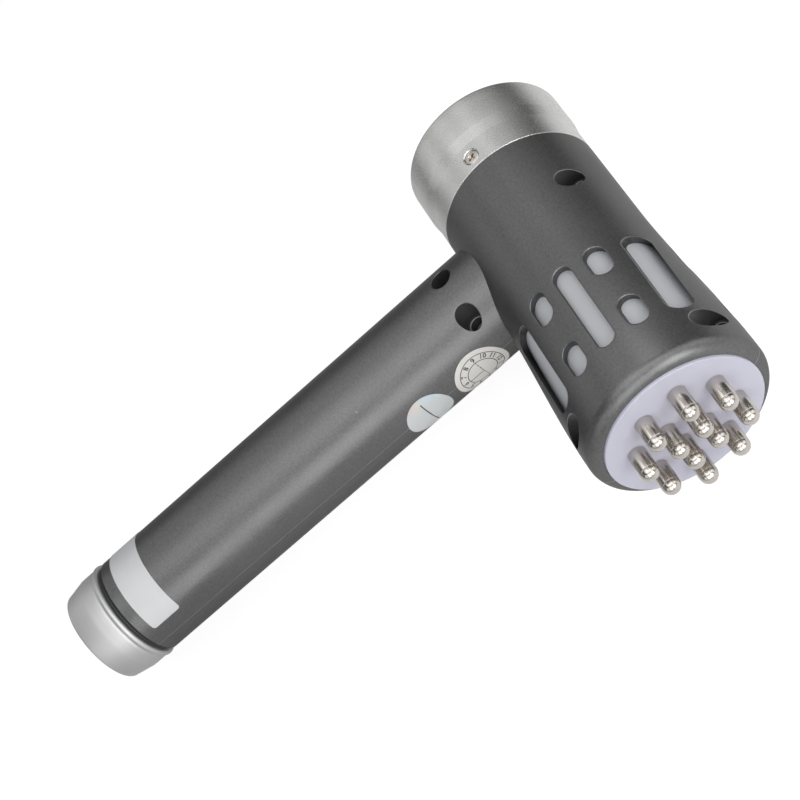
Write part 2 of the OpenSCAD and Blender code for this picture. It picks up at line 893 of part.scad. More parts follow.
// Contact disc on the cap's floor
module contact_disc() {
    floor_s = tail_face - tail_floor;
    color(brass_c) handle_ring(floor_s - contact_t, floor_s, cell_r - fit_gap, 0);
}

// Coil spring between the contact disc and the cell, as one swept wire
module contact_spring() {
    wire_r = 0.5;
    coil_r = 6;
    turns = 4;
    per_turn = 18;
    sides = 6;
    rings = turns * per_turn;
    rise = (spring_free - 2 * wire_r) / turns;
    points = [for (i = [0 : rings]) let (a = 360 * i / per_turn, h = wire_r + rise * i / per_turn)
        for (k = [0 : sides - 1]) let (b = 360 * k / sides)
            [(coil_r + wire_r * cos(b)) * cos(a), (coil_r + wire_r * cos(b)) * sin(a), h + wire_r * sin(b)]];
    faces = concat(
        [[for (k = [0 : sides - 1]) k]],
        [for (i = [0 : rings - 1]) for (k = [0 : sides - 1]) let (j = (k + 1) % sides)
            [i * sides + k, (i + 1) * sides + k, (i + 1) * sides + j, i * sides + j]],
        [[for (k = [sides - 1 : -1 : 0]) rings * sides + k]]
    );
    color(steel_c) translate([handle_x, -(tail_face - tail_floor - contact_t), 0]) rotate([-90, 0, 0])
        polyhedron(points = points, faces = faces, convexity = 8);
}

// Round thumb button with a flange that keeps it in the handle
module power_button() {
    edge = 1;
    edge_n = 4;
    flange_x = button_back_x - button_flange_t;
    color(black_c) translate([0, -button_s, 0]) along_barrel() rotate_extrude() polygon(concat(
        [[0, button_top_x]],
        [for (i = [0 : edge_n]) let (a = 90 * i / edge_n)
            [button_r - edge + edge * sin(a), button_top_x + edge - edge * cos(a)]],
        [[button_r, flange_x], [button_flange_r, flange_x]],
        [[button_flange_r, button_back_x], [0, button_back_x]]
    ));
}

// Plunger that the button pushes into the switch
module switch_plunger() {
    color(plastic_c) translate([0, -button_s, 0]) along_barrel(button_back_x)
        cylinder(h = switch_x0 + plunger_in - button_back_x, r = plunger_r);
}

// Square push switch on the button's board
module switch_body() {
    depth = plunger_in + button_travel + plunger_spare;
    color(black_c) translate([0, -button_s, 0]) difference() {
        translate([switch_x0, -switch_w / 2, -switch_w / 2]) cube([switch_t, switch_w, switch_w]);
        along_barrel(switch_x0 - over) cylinder(h = over + depth, r = plunger_r + fit_gap);
    }
}

// Board that holds the push switch
module button_board() {
    g = board_slot_gap;
    color(board_c) translate([button_board_x + g, -button_s - button_board_l / 2, -button_board_w / 2 + g])
        cube([board_t - 2 * g, button_board_l, button_board_w - 2 * g]);
}

// Direction of a path at one of its points, halfway between the stretches that meet there
function path_way(path, i) =
    let (a = path[max(i - 1, 0)], b = path[min(i + 1, len(path) - 1)]) (b - a) / norm(b - a);
// Ring of points round a path's point, square to its direction
function wire_ring(path, i, r, sides) =
    let (t = path_way(path, i), u = cross([0, 0, 1], t) / norm(cross([0, 0, 1], t)), v = cross(t, u))
    [for (k = [0 : sides - 1]) let (b = 360 * k / sides) path[i] + r * (cos(b) * u + sin(b) * v)];

// Round wire through a list of points, none of whose stretches stands upright
module wire(path, r, sides = 8) {
    last = len(path) - 1;
    points = [for (i = [0 : last]) each wire_ring(path, i, r, sides)];
    faces = concat(
        [[for (k = [sides - 1 : -1 : 0]) k]],
        [for (i = [0 : last - 1]) for (k = [0 : sides - 1]) let (j = (k + 1) % sides)
            [i * sides + k, i * sides + j, (i + 1) * sides + j, (i + 1) * sides + k]],
        [[for (k = [0 : sides - 1]) last * sides + k]]
    );
    polyhedron(points = points, faces = faces, convexity = 6);
}

// Leads from the cell's contacts to the driver board's lead block
module power_leads() {
    x = handle_x + 3;
    y = -2.5;
    block_x = driver_x0 + driver_t + block_size[0];
    for (side = [-1, 1]) {
        z = lead_z + side * lead_step;
        color(side > 0 ? red_c : black_c)
            wire([[x, -carrier_front, z], [x, -carrier_front + 3, z], [x, -10, z], [x - 2, -5, z],
                  [x - 6, y - 0.5, z], [x - 12, y, z], [block_x + 3, y, z], [block_x, y, z]], lead_r);
    }
}

// Leads from the driver board's lead block through the core to the emitter board
module lamp_leads() {
    block_x = driver_x0 + driver_t + block_size[0];
    for (side = [-1, 1]) {
        z = lead_z + side * lead_step;
        color(side > 0 ? red_c : black_c)
            wire([[block_x, 2, z], [block_x + 3, 2, z], [core_x0 - 10, 2, z], [core_x0 - 4, 3, z],
                  [emitter_x0 - 3, 3, z], [emitter_x0, 3, z]], lead_r);
    }
}

// Thin leads from the button's board to the driver board
module switch_leads() {
    board_x = button_board_x + board_t - board_slot_gap;
    face_x = driver_x0 + driver_t;
    x = handle_x + 5.5;
    for (side = [-1, 1]) {
        z = side * switch_lead_z;
        color(white_c)
            wire([[board_x, -button_s, z], [board_x + 2, -button_s, z], [x - 3, -button_s + 4, z],
                  [x, -button_s + 12, z], [x, -26, z], [x - 4, -19, z], [x - 14, -17, z],
                  [face_x + 4, -17, z], [face_x, -17, z]], switch_lead_r);
    }
}

// Thin curved patch on the handle between two angles
module patch_band(s, w, a0, a1) {
    along_handle(s) rotate([0, 0, 90 - a1]) rotate_extrude(angle = a1 - a0)
        translate([handle_r, 0]) square([sticker_t, w]);
}

// Thin round sticker wrapped on the handle
module patch_round(s, a, r) {
    intersection() {
        handle_ring(s - r - over, s + r + over, handle_r + sticker_t, handle_r);
        translate([handle_x, -s, 0]) rotate([0, a, 0]) cylinder(h = 2 * handle_r, r = r);
    }
}

// Blank silver label round the tail end of the handle
module tail_label() {
    color(silver_c) patch_band(label_s0, label_w, label_a0, label_a1);
}

// Round seal with a ring of plain numbers, across the split
module dial_seal() {
    color(plastic_c) patch_round(dial_s, dial_a, dial_r);
}

// Plain round seal across the split
module round_seal() {
    color(silver_c) patch_round(seal_s, seal_a, seal_r);
}

casing_upper();
casing_lower();
rear_cap();
cap_screws();
front_plate();
outer_pins();
inner_pins();
pin_nuts();
diffuser_sleeve();
emitter_board();
infrared_leds();
lamp_core();
side_strips();
side_leds();
driver_board();
driver_parts();
board_screws();
casing_screws();
battery();
battery_sleeve();
contact_carrier();
front_contact();
return_strip();
thread_collar();
tail_cap();
tail_ring();
contact_disc();
contact_spring();
power_button();
switch_plunger();
switch_body();
button_board();
power_leads();
lamp_leads();
switch_leads();
tail_label();
dial_seal();
round_seal();
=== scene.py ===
import math

import bpy
from mathutils import Matrix, Quaternion, Vector


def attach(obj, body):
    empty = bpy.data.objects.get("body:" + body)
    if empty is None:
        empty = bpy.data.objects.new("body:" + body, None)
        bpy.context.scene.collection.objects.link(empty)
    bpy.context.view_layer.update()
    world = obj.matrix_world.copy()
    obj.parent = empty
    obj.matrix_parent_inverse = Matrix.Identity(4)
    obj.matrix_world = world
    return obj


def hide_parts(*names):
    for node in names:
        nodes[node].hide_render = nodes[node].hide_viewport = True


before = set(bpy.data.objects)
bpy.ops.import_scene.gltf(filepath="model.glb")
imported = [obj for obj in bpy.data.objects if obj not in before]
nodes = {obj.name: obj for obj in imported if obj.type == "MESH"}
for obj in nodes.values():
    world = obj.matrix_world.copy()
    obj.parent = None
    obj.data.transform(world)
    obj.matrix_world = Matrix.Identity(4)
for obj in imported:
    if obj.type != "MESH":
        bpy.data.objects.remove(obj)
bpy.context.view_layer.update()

# Camera. It looks down on the wand from beside the pins, at the photograph's angle, with a long lens.
# The lens is set for a square picture.
camera_place = Vector((0.4796, 0.0702, 0.5149))
camera_aim = Vector((0.0571, -0.0712, 0.0))
camera_roll = math.radians(-55.17)
lens = bpy.data.cameras.new("camera")
lens.lens = 93.56
lens.sensor_width = 36
lens.clip_start = 0.01
lens.clip_end = 20
camera = bpy.data.objects.new("camera", lens)
bpy.context.scene.collection.objects.link(camera)
look = (camera_place - camera_aim).to_track_quat("Z", "Y") @ Quaternion((0, 0, 1), camera_roll)
camera.matrix_world = Matrix.Translation(camera_place) @ look.to_matrix().to_4x4()
bpy.context.scene.camera = camera

# Lamp core. A six-sided aluminium extrusion with a round flange, which stands in the barrel's ribs and
# carries the narrow boards. It is sawn to length and left with a fine satin finish.
MM = 0.001


def make_grain_group():
    """Fine grain and slow patches, which vary a finish's colour, roughness and height."""
    group = bpy.data.node_groups.new("grain and patches", "ShaderNodeTree")
    sockets = [("Vector", "Vector"), ("Colour", "Color"), ("Grain size", "Float"),
               ("Grain tone", "Float"), ("Patch size", "Float"), ("Patch tone", "Float"),
               ("Roughness", "Float"), ("Roughness spread", "Float")]
    for name, kind in sockets:
        group.interface.new_socket(name, in_out="INPUT", socket_type="NodeSocket" + kind)
    for name, kind in [("Colour", "Color"), ("Roughness", "Float"), ("Height", "Float")]:
        group.interface.new_socket(name, in_out="OUTPUT", socket_type="NodeSocket" + kind)
    given = group.nodes.new("NodeGroupInput")
    result = group.nodes.new("NodeGroupOutput")

    def math_node(kind, first, second):
        node = group.nodes.new("ShaderNodeMath")
        node.operation = kind
        for socket, value in zip(node.inputs, (first, second)):
            if isinstance(value, (int, float)):
                socket.default_value = value
            else:
                group.links.new(value, socket)
        return node.outputs[0]

    def noise(size, detail):
        """Noise of a size in metres, from -1 to 1."""
        scale = math_node("DIVIDE", 1.0, given.outputs[size])
        node = group.nodes.new("ShaderNodeTexNoise")
        node.inputs["Detail"].default_value = detail
        group.links.new(given.outputs["Vector"], node.inputs["Vector"])
        group.links.new(scale, node.inputs["Scale"])
        return math_node("MULTIPLY", math_node("SUBTRACT", node.outputs["Fac"], 0.5), 2.0)

    grain = noise("Grain size", 3.0)
    patch = noise("Patch size", 2.0)
    tone = math_node("ADD", math_node("MULTIPLY", grain, given.outputs["Grain tone"]),
                     math_node("MULTIPLY", patch, given.outputs["Patch tone"]))
    tint = group.nodes.new("ShaderNodeVectorMath")
    tint.operation = "SCALE"
    group.links.new(given.outputs["Colour"], tint.inputs[0])
    group.links.new(math_node("ADD", tone, 1.0), tint.inputs["Scale"])
    spread = math_node("MULTIPLY", math_node("ADD", grain, patch), given.outputs["Roughness spread"])
    group.links.new(tint.outputs[0], result.inputs["Colour"])
    group.links.new(math_node("ADD", spread, given.outputs["Roughness"]), result.inputs["Roughness"])
    group.links.new(grain, result.inputs["Height"])
    return group


grain_group = make_grain_group()


def finish(name, colour, roughness, metallic=0.0, grain=0.3, grain_tone=0.05, patch=9.0,
           patch_tone=0.05, spread=0.04, relief=0.01):
    """A finish with a grain and patches of those sizes in millimetres, and a relief of that depth."""
    material = bpy.data.materials.new(name)
    material.use_nodes = True
    tree = material.node_tree
    shader = tree.nodes["Principled BSDF"]
    shader.inputs["Metallic"].default_value = metallic
    place = tree.nodes.new("ShaderNodeTexCoord")
    mapping = tree.nodes.new("ShaderNodeMapping")
    mapping.name = "mapping"
    surface = tree.nodes.new("ShaderNodeGroup")
    surface.name = "surface"
    surface.node_tree = grain_group
    surface.inputs["Colour"].default_value = (*colour, 1.0)
    for socket, value in [("Grain size", grain * MM), ("Grain tone", grain_tone),
                          ("Patch size", patch * MM), ("Patch tone", patch_tone),
                          ("Roughness", roughness), ("Roughness spread", spread)]:
        surface.inputs[socket].default_value = value
    bump = tree.nodes.new("ShaderNodeBump")
    bump.inputs["Distance"].default_value = relief * MM
    tree.links.new(place.outputs["Object"], mapping.inputs["Vector"])
    tree.links.new(mapping.outputs["Vector"], surface.inputs["Vector"])
    tree.links.new(surface.outputs["Colour"], shader.inputs["Base Color"])
    tree.links.new(surface.outputs["Roughness"], shader.inputs["Roughness"])
    tree.links.new(surface.outputs["Height"], bump.inputs["Height"])
    tree.links.new(bump.outputs["Normal"], shader.inputs["Normal"])
    return material


def coat(piece, material):
    """Gives a piece or a CAD node its finish in every slot."""
    if not piece.material_slots:
        piece.data.materials.append(material)
    for slot in piece.material_slots:
        slot.material = material


core_finish = finish("extruded aluminium", (0.62, 0.62, 0.61), 0.38, metallic=1.0, grain=0.15)
coat(nodes["lamp_core"], core_finish)

# Side strips and side lamps. Narrow white boards are screwed flat on the core's six faces, and each
# carries three square surface-mount lamps with yellow phosphor.
coat(nodes["side_strips"], finish("white board", (0.80, 0.80, 0.78), 0.35, patch_tone=0.02))
coat(nodes["side_leds"], finish("yellow phosphor", (0.78, 0.62, 0.18), 0.30, grain=0.2))

# Emitter board and infrared lamps. A round green board lies in the barrel's front groove, with clear
# resin lamps between the pins' studs.
board_finish = finish("green solder mask", (0.02, 0.14, 0.05), 0.30, grain=0.5, patch=3.0, patch_tone=0.15)
coat(nodes["emitter_board"], board_finish)
coat(nodes["infrared_leds"], finish("clear resin", (0.55, 0.57, 0.66), 0.12, patch_tone=0.02))

# Pins and their nuts. Each pin is turned from one bar: a round contact with a domed tip and a thin
# stud, nickel plated and polished. Brass nuts hold the studs behind the plate.
plate_front = 136.4
pin_r = 3.1
pin_tip = plate_front + 11
stud_r = 1.5
stud_back = 125.4
# Each ring of pins: its name, its radius, the number of pins, and the angle of the first one.
pin_rings = [("outer_pins", 17.0, 8, 26.5), ("inner_pins", 6.7, 4, 49.0)]


def lay_bare():
    """Deselects everything, so that an operator acts only on what is made next."""
    if bpy.context.object and bpy.context.object.mode != "OBJECT":
        bpy.ops.object.mode_set(mode="OBJECT")
    bpy.ops.object.select_all(action="DESELECT")


def turned(name, outline, steps, start=(0, 0, 0), along=(1, 0, 0), out=(0, 1, 0)):
    """A piece turned round an axis. The outline is a list of (distance along, radius) in millimetres."""
    lay_bare()
    start, along, out = Vector(start) * MM, Vector(along), Vector(out)
    points = [start + along * a * MM + out * r * MM for a, r in outline]
    bpy.ops.mesh.primitive_plane_add(size=MM, location=(0, 0, 0))
    piece = bpy.context.object
    piece.name = piece.data.name = name
    bpy.ops.object.mode_set(mode="EDIT")
    bpy.ops.mesh.select_all(action="SELECT")
    bpy.ops.mesh.merge(type="CENTER")
    bpy.ops.transform.translate(value=points[0])
    for here, there in zip(points, points[1:]):
        bpy.ops.mesh.extrude_vertices_move(TRANSFORM_OT_translate={"value": there - here})
    bpy.ops.mesh.select_all(action="SELECT")
    bpy.ops.mesh.spin(steps=steps, angle=math.radians(360), center=start, axis=along)
    bpy.ops.mesh.select_all(action="SELECT")
    bpy.ops.mesh.remove_doubles(threshold=0.0005 * MM)
    bpy.ops.mesh.normals_make_consistent(inside=False)
    bpy.ops.object.mode_set(mode="OBJECT")
    return piece


def smoothed(piece, angle=35):
    """Shades a piece smooth, but for edges sharper than the angle."""
    lay_bare()
    piece.select_set(True)
    bpy.context.view_layer.objects.active = piece
    bpy.ops.object.shade_smooth_by_angle(angle=math.radians(angle))
    return piece


def joined(name, pieces):
    """Makes several meshes one piece."""
    lay_bare()
    for piece in pieces:
        piece.select_set(True)
    bpy.context.view_layer.objects.active = pieces[0]
    bpy.ops.object.join()
    pieces[0].name = pieces[0].data.name = name
    return pieces[0]


def places_on_ring(radius, count, first):
    """Even places on a ring round the barrel's axis, counted from +Y towards +Z."""
    turns = [math.radians(first + 360 * i / count) for i in range(count)]
    return [(radius * math.cos(a), radius * math.sin(a)) for a in turns]


def pin_at(name, y, z):
    """One pin, with the fine line that the tool leaves between its straight side and its dome."""
    stud_edge, foot_edge = 0.3, 0.15
    dome_x, dome_r, line_r = pin_tip - pin_r, pin_r - 0.02, pin_r - 0.07
    dome_steps = 12
    outline = [(stud_back, 0), (stud_back, stud_r - stud_edge), (stud_back + stud_edge, stud_r),
               (plate_front, stud_r), (plate_front, pin_r - foot_edge), (plate_front + foot_edge, pin_r),
               (dome_x - 0.25, pin_r), (dome_x - 0.12, line_r), (dome_x, dome_r)]
    for i in range(1, dome_steps + 1):
        a = math.radians(90 * i / dome_steps)
        radius = dome_r * math.cos(a) if i < dome_steps else 0
        outline.append((dome_x + pin_r * math.sin(a), radius))
    return turned(name, outline, start=(0, y, z), steps=48)


pin_finish = finish("polished nickel", (0.55, 0.515, 0.475), 0.20, metallic=1.0, grain=0.22,
                    grain_tone=0.05, patch=2.5, patch_tone=0.04, spread=0.03, relief=0.0008)
# The polishing marks run along the pins, so the grain is drawn out that way.
pin_finish.node_tree.nodes["mapping"].inputs["Scale"].default_value = (0.06, 1, 1)
for name, radius, count, first in pin_rings:
    ring_places = enumerate(places_on_ring(radius, count, first))
    pins = joined("polished_" + name, [pin_at(f"{name}_{i}", y, z) for i, (y, z) in ring_places])
    smoothed(pins)
    coat(pins, pin_finish)
    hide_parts(name)
    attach(pins, "casing")
coat(nodes["pin_nuts"], finish("brass", (0.72, 0.54, 0.26), 0.30, metallic=1.0, grain=0.2))

# Front plate. A milky moulded disc with a flange behind it, which sits in the groove inside the
# barrel's mouth. Its front edge is slightly rounded, and each stud passes through a hole.
plate_r = 26.9
plate_back = 132.4
plate_edge = 0.5
flange_r = 28.1
flange_front = plate_back + 1.6
stud_hole_r = 1.6


def shaped(piece, tools, kind="DIFFERENCE"):
    """Cuts a piece with several tools at once, or joins or trims it with them, and clears them away."""
    group = bpy.data.collections.new("tools")
    bpy.context.scene.collection.children.link(group)
    for tool in tools:
        group.objects.link(tool)
    lay_bare()
    piece.select_set(True)
    bpy.context.view_layer.objects.active = piece
    change = piece.modifiers.new("shape", "BOOLEAN")
    change.operation = kind
    change.operand_type = "COLLECTION"
    change.collection = group
    change.solver = "EXACT"
    change.material_mode = "TRANSFER"
    bpy.ops.object.modifier_apply(modifier=change.name)
    bpy.data.collections.remove(group)
    for tool in tools:
        bpy.data.objects.remove(tool)
    return piece


def drill(radius, start, along, length, sides=32):
    """A straight round tool for a hole, in millimetres."""
    lay_bare()
    along = Vector(along).normalized()
    middle = Vector(start) + along * length / 2
    bpy.ops.mesh.primitive_cylinder_add(
        vertices=sides, radius=radius * MM, depth=length * MM, location=middle * MM,
        rotation=along.to_track_quat("Z", "Y").to_euler())
    bpy.ops.object.transform_apply(location=True, rotation=True, scale=True)
    return bpy.context.object


plate_outline = [(plate_back, 0), (plate_back, flange_r), (flange_front, flange_r), (flange_front, plate_r)]
for i in range(7):
    a = math.radians(90 * i / 6)
    plate_outline.append((plate_front - plate_edge + plate_edge * math.sin(a),
                          plate_r - plate_edge + plate_edge * math.cos(a)))
plate_outline += [(plate_front, r) for r in (20, 10, 0)]
plate = turned("milky_plate", plate_outline, steps=128)
holes = []
for _, radius, count, first in pin_rings:
    for y, z in places_on_ring(radius, count, first):
        holes.append(drill(stud_hole_r, (plate_back - 1, y, z), (1, 0, 0), 6))
smoothed(shaped(plate, holes))
plate_finish = finish("milky moulding", (0.44, 0.437, 0.515), 0.32, grain=0.6, grain_tone=0.01, patch=14,
                      patch_tone=0.03, spread=0.04, relief=0.004)
coat(plate, plate_finish)
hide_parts("front_plate")
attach(plate, "casing")

# Diffuser sleeve. A frosted tube that follows the inside of the barrel's flare behind the windows,
# notched at the front for the two screw bosses.
barrel_back_r = 28.0
flare_rise = 3.1
flare_back, flare_front = 62, 128
boss_r = 5
front_boss_x, front_boss_y = 123.5, 25.8
sleeve_back, sleeve_front, sleeve_t = 80.1, 119.8, 1.6
sleeve_inset = 2.7
sleeve_steps = 26


def barrel_r(x):
    """Radius of the barrel's outside at a place along it."""
    t = min(max((x - flare_back) / (flare_front - flare_back), 0), 1)
    return barrel_back_r + flare_rise * (t * t * (3 - 2 * t))


def post(radius, x, y):
    """An upright round tool through the whole thickness of the wand."""
    bottom, tall = -31, 62
    return drill(radius, (x, y, bottom), (0, 0, 1), tall, 48)


places = [sleeve_back + (sleeve_front - sleeve_back) * i / sleeve_steps for i in range(sleeve_steps + 1)]
sleeve_outline = [(x, barrel_r(x) - sleeve_inset) for x in places]
sleeve_outline += [(x, barrel_r(x) - sleeve_inset - sleeve_t) for x in reversed(places)]
sleeve_outline.append(sleeve_outline[0])
sleeve = turned("frosted_sleeve", sleeve_outline, steps=144)
shaped(sleeve, [post(boss_r + 0.1, front_boss_x, side * front_boss_y) for side in (-1, 1)])
smoothed(sleeve)
sleeve_finish = finish("frosted sleeve", (0.445, 0.455, 0.48), 0.5, grain=0.4, grain_tone=0.02, patch=10,
                       patch_tone=0.04)
coat(sleeve, sleeve_finish)
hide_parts("diffuser_sleeve")
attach(sleeve, "casing")

# Driver board and its parts. A round board is screwed to the end of the barrel's spigot inside the
# rear cap, with a coil, two capacitors, a chip and a lead block soldered to it.
screw_finish = finish("nickelled steel", (0.62, 0.58, 0.53), 0.26, metallic=1.0, grain=0.15)
coat(nodes["driver_board"], board_finish)
coat(nodes["driver_parts"], finish("black moulding", (0.02, 0.02, 0.021), 0.45))
coat(nodes["board_screws"], screw_finish)

# Battery, its sleeve and contacts. The cell stands in a natural plastic sleeve between a black carrier
# with a brass contact and the tail cap's spring, and a brass strip brings the current back.
coat(nodes["battery"], finish("green shrink film", (0.05, 0.22, 0.12), 0.30, patch_tone=0.03))
coat(nodes["battery_sleeve"], finish("natural plastic", (0.72, 0.70, 0.64), 0.45))
coat(nodes["contact_carrier"], finish("black carrier", (0.02, 0.02, 0.02), 0.5))
brass_finish = finish("pressed brass", (0.72, 0.54, 0.26), 0.28, metallic=1.0, grain=0.2)
for name in ("front_contact", "return_strip"):
    coat(nodes[name], brass_finish)

# Thread collar. A turned aluminium ring is held by its flange between the casing's halves and takes
# the tail cap's thread.
coat(nodes["thread_collar"], core_finish)

# Thumb button, its plunger and switch. A black rubber button with a shallow dish and a raised ring
# slides in the pad behind the handle's wall, and its plunger presses a switch on a small board.
button_y = -70
# Its flange inside the wall, its side and rounded edge, and the raised ring round the dish.
button_outline = [(37.8, 0), (37.8, 8.1), (36.6, 8.1), (36.6, 6.5)]
for i in range(7):
    a = math.radians(90 * i / 6)
    button_outline.append((31.7 - math.sin(a), 5.5 + math.cos(a)))
button_outline += [(30.7, 5.0), (31.05, 4.6), (31.05, 4.4), (31.15, 2.2), (31.2, 0)]
button = turned("rubber_button", button_outline, start=(0, button_y, 0), steps=72)
smoothed(button)
rubber_finish = finish("black rubber", (0.018, 0.018, 0.019), 0.55, grain=0.25, grain_tone=0.1)
coat(button, rubber_finish)
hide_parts("power_button")
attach(button, "button")
coat(nodes["switch_plunger"], finish("plunger plastic", (0.72, 0.70, 0.64), 0.4))
coat(nodes["switch_body"], finish("switch plastic", (0.03, 0.03, 0.03), 0.4))
coat(nodes["button_board"], board_finish)

# Leads. Pairs of thin sheathed wires run from the cell and the switch to the driver board, and on
# through the core to the emitter board.
for name, colour in [("power_leads", (0.45, 0.03, 0.03)), ("lamp_leads", (0.45, 0.03, 0.03)),
                     ("switch_leads", (0.75, 0.74, 0.70))]:
    coat(nodes[name], finish(name.replace("_", " "), colour, 0.4))

# Casing. Two moulded half shells make the barrel and the handle, split at z = 0 and painted dark grey
# with a fine satin grain. The windows, bores and bosses are moulded in, with softly rounded rims.
barrel_front_r = barrel_back_r + flare_rise
barrel_wall = 2.6
shoulder_x = 28
spigot_back, spigot_r = 10, 24.8
rim_x = 130.6
front_x = 135.4
mouth_r = 27.0
handle_x = 50.0
handle_r = 18.7
handle_end = 188
handle_edge = 0.8
handle_hollow_r = 16.3

barrel_outline = [(spigot_back, 0), (spigot_back, spigot_r), (shoulder_x, spigot_r),
                  (shoulder_x, barrel_back_r)]
barrel_outline += [(x, barrel_r(x)) for x in [30 + 1.5 * i for i in range(67)]]
rim_turn = math.radians(70)
rim_across = (barrel_front_r - mouth_r) / (1 - math.cos(rim_turn))
rim_along = (front_x - rim_x) / math.sin(rim_turn)
for i in range(13):
    a = rim_turn * i / 12
    barrel_outline.append((rim_x + rim_along * math.sin(a), barrel_front_r - rim_across * (1 - math.cos(a))))
barrel_outline.append((front_x, 0))
casing = turned("casing", barrel_outline, steps=180)
to_tail = dict(start=(handle_x, 0, 0), along=(0, -1, 0), out=(1, 0, 0))
handle_outline = [(0, 0)] + [(5.2 * i, handle_r) for i in range(37)]
handle_outline += [(handle_end, handle_r - handle_edge), (handle_end, 0)]
shaped(casing, [turned("handle", handle_outline, steps=144, **to_tail)], "UNION")

# The barrel's room from the back: the spigot, the wide part, two ribs round the core's flange, the
# sleeve's part, the grooves of the emitter board and of the plate's flange, and the mouth.
barrel_hollow = [(9, 0), (9, 21.7), (31, 21.7), (31, 25.4), (73, 25.4), (73, 21), (74.95, 21),
                 (74.95, 24.5), (78.05, 24.5), (78.05, 21), (80, 21)]
barrel_hollow += [(x, barrel_r(x) - barrel_wall) for x in [80 + 39.8 * i / 13 for i in range(14)]]
barrel_hollow += [(119.8, 22.5), (125.95, 22.5), (125.95, 24), (127.65, 24), (127.65, 22.5),
                  (129.65, 22.5), (129.65, 25.9), (132.35, 25.9), (132.35, 28.2), (134.05, 28.2),
                  (134.05, mouth_r), (137, mouth_r), (137, 0)]
# The handle's room: a stop rib and three seat ribs for the battery sleeve, and the groove for the
# collar's flange.
handle_hollow = [(0, 0), (0, handle_hollow_r)]
for rib_back, rib_front, rib_r in [(119.95, 121.95, 12.2), (125, 127, 15), (149, 151, 15),
                                   (169, 171, 15), (179.95, 182.05, 17.2)]:
    handle_hollow += [(rib_back, handle_hollow_r), (rib_back, rib_r),
                      (rib_front, rib_r), (rib_front, handle_hollow_r)]
handle_hollow += [(189, handle_hollow_r), (189, 0)]
hollow = turned("hollow", barrel_hollow, steps=96)
shaped(hollow, [turned("handle_hollow", handle_hollow, steps=72, **to_tail)], "UNION")


def block(low, high):
    """A straight-sided tool between two corners, in millimetres."""
    lay_bare()
    low, high = Vector(low) * MM, Vector(high) * MM
    bpy.ops.mesh.primitive_cube_add(size=1, location=(low + high) / 2, scale=high - low)
    bpy.ops.object.transform_apply(location=True, rotation=True, scale=True)
    return bpy.context.object


# The bosses round the screws, each with its place and the height of its bore's shelf, then the
# button's pad and the four blocks that hold the button's board, are left standing in the hollow.
pad_r = 9.5
screw_places = [(50.8, 18.7, 12.5), (front_boss_x, front_boss_y, 7), (front_boss_x, -front_boss_y, 7),
                (44.7, -33.9, 9.5), (61.4, -33.9, 8)]
left_standing = [post(boss_r, x, y) for x, y, shelf in screw_places]
left_standing.append(drill(pad_r, (31.3, button_y, 0), (1, 0, 0), 5, 48))
for y in (-81, -63):
    for z in (-19, 11.5):
        left_standing.append(block((41.3, y, z), (45.9, y + 4, z + 7.5)))
shaped(hollow, left_standing)
shaped(casing, [hollow])


def handle_height(x, y):
    """Height of the handle's top above the split."""
    return math.sqrt(max(handle_r ** 2 - (x - handle_x) ** 2, 0))


def barrel_height(x, y):
    """Height of the barrel's top above the split."""
    return math.sqrt(max(barrel_r(x) ** 2 - y ** 2, 0))


def stadium(x0, x1, y, width):
    """Places round an opening with round ends, each with the way that points out of it."""
    r = width / 2
    length = x1 - x0 - width
    steps = max(1, round(length / 1.6))

    def round_end(middle, first):
        turns = [math.radians(first - 15 * i) for i in range(1, 12)]
        return [((middle + r * math.cos(a), y + r * math.sin(a)), (math.cos(a), math.sin(a))) for a in turns]

    upper = [((x0 + r + length * i / steps, y + r), (0, 1)) for i in range(steps + 1)]
    lower = [((x1 - r - length * i / steps, y - r), (0, -1)) for i in range(steps + 1)]
    return upper + round_end(x1 - r, 90) + lower + round_end(x0 + r, -90)


def circle(x, y, r):
    """Places round a round opening, each with the way that points out of it."""
    turns = [math.radians(360 * i / 40) for i in range(40)]
    return [((x + r * math.cos(a), y + r * math.sin(a)), (math.cos(a), math.sin(a))) for a in turns]


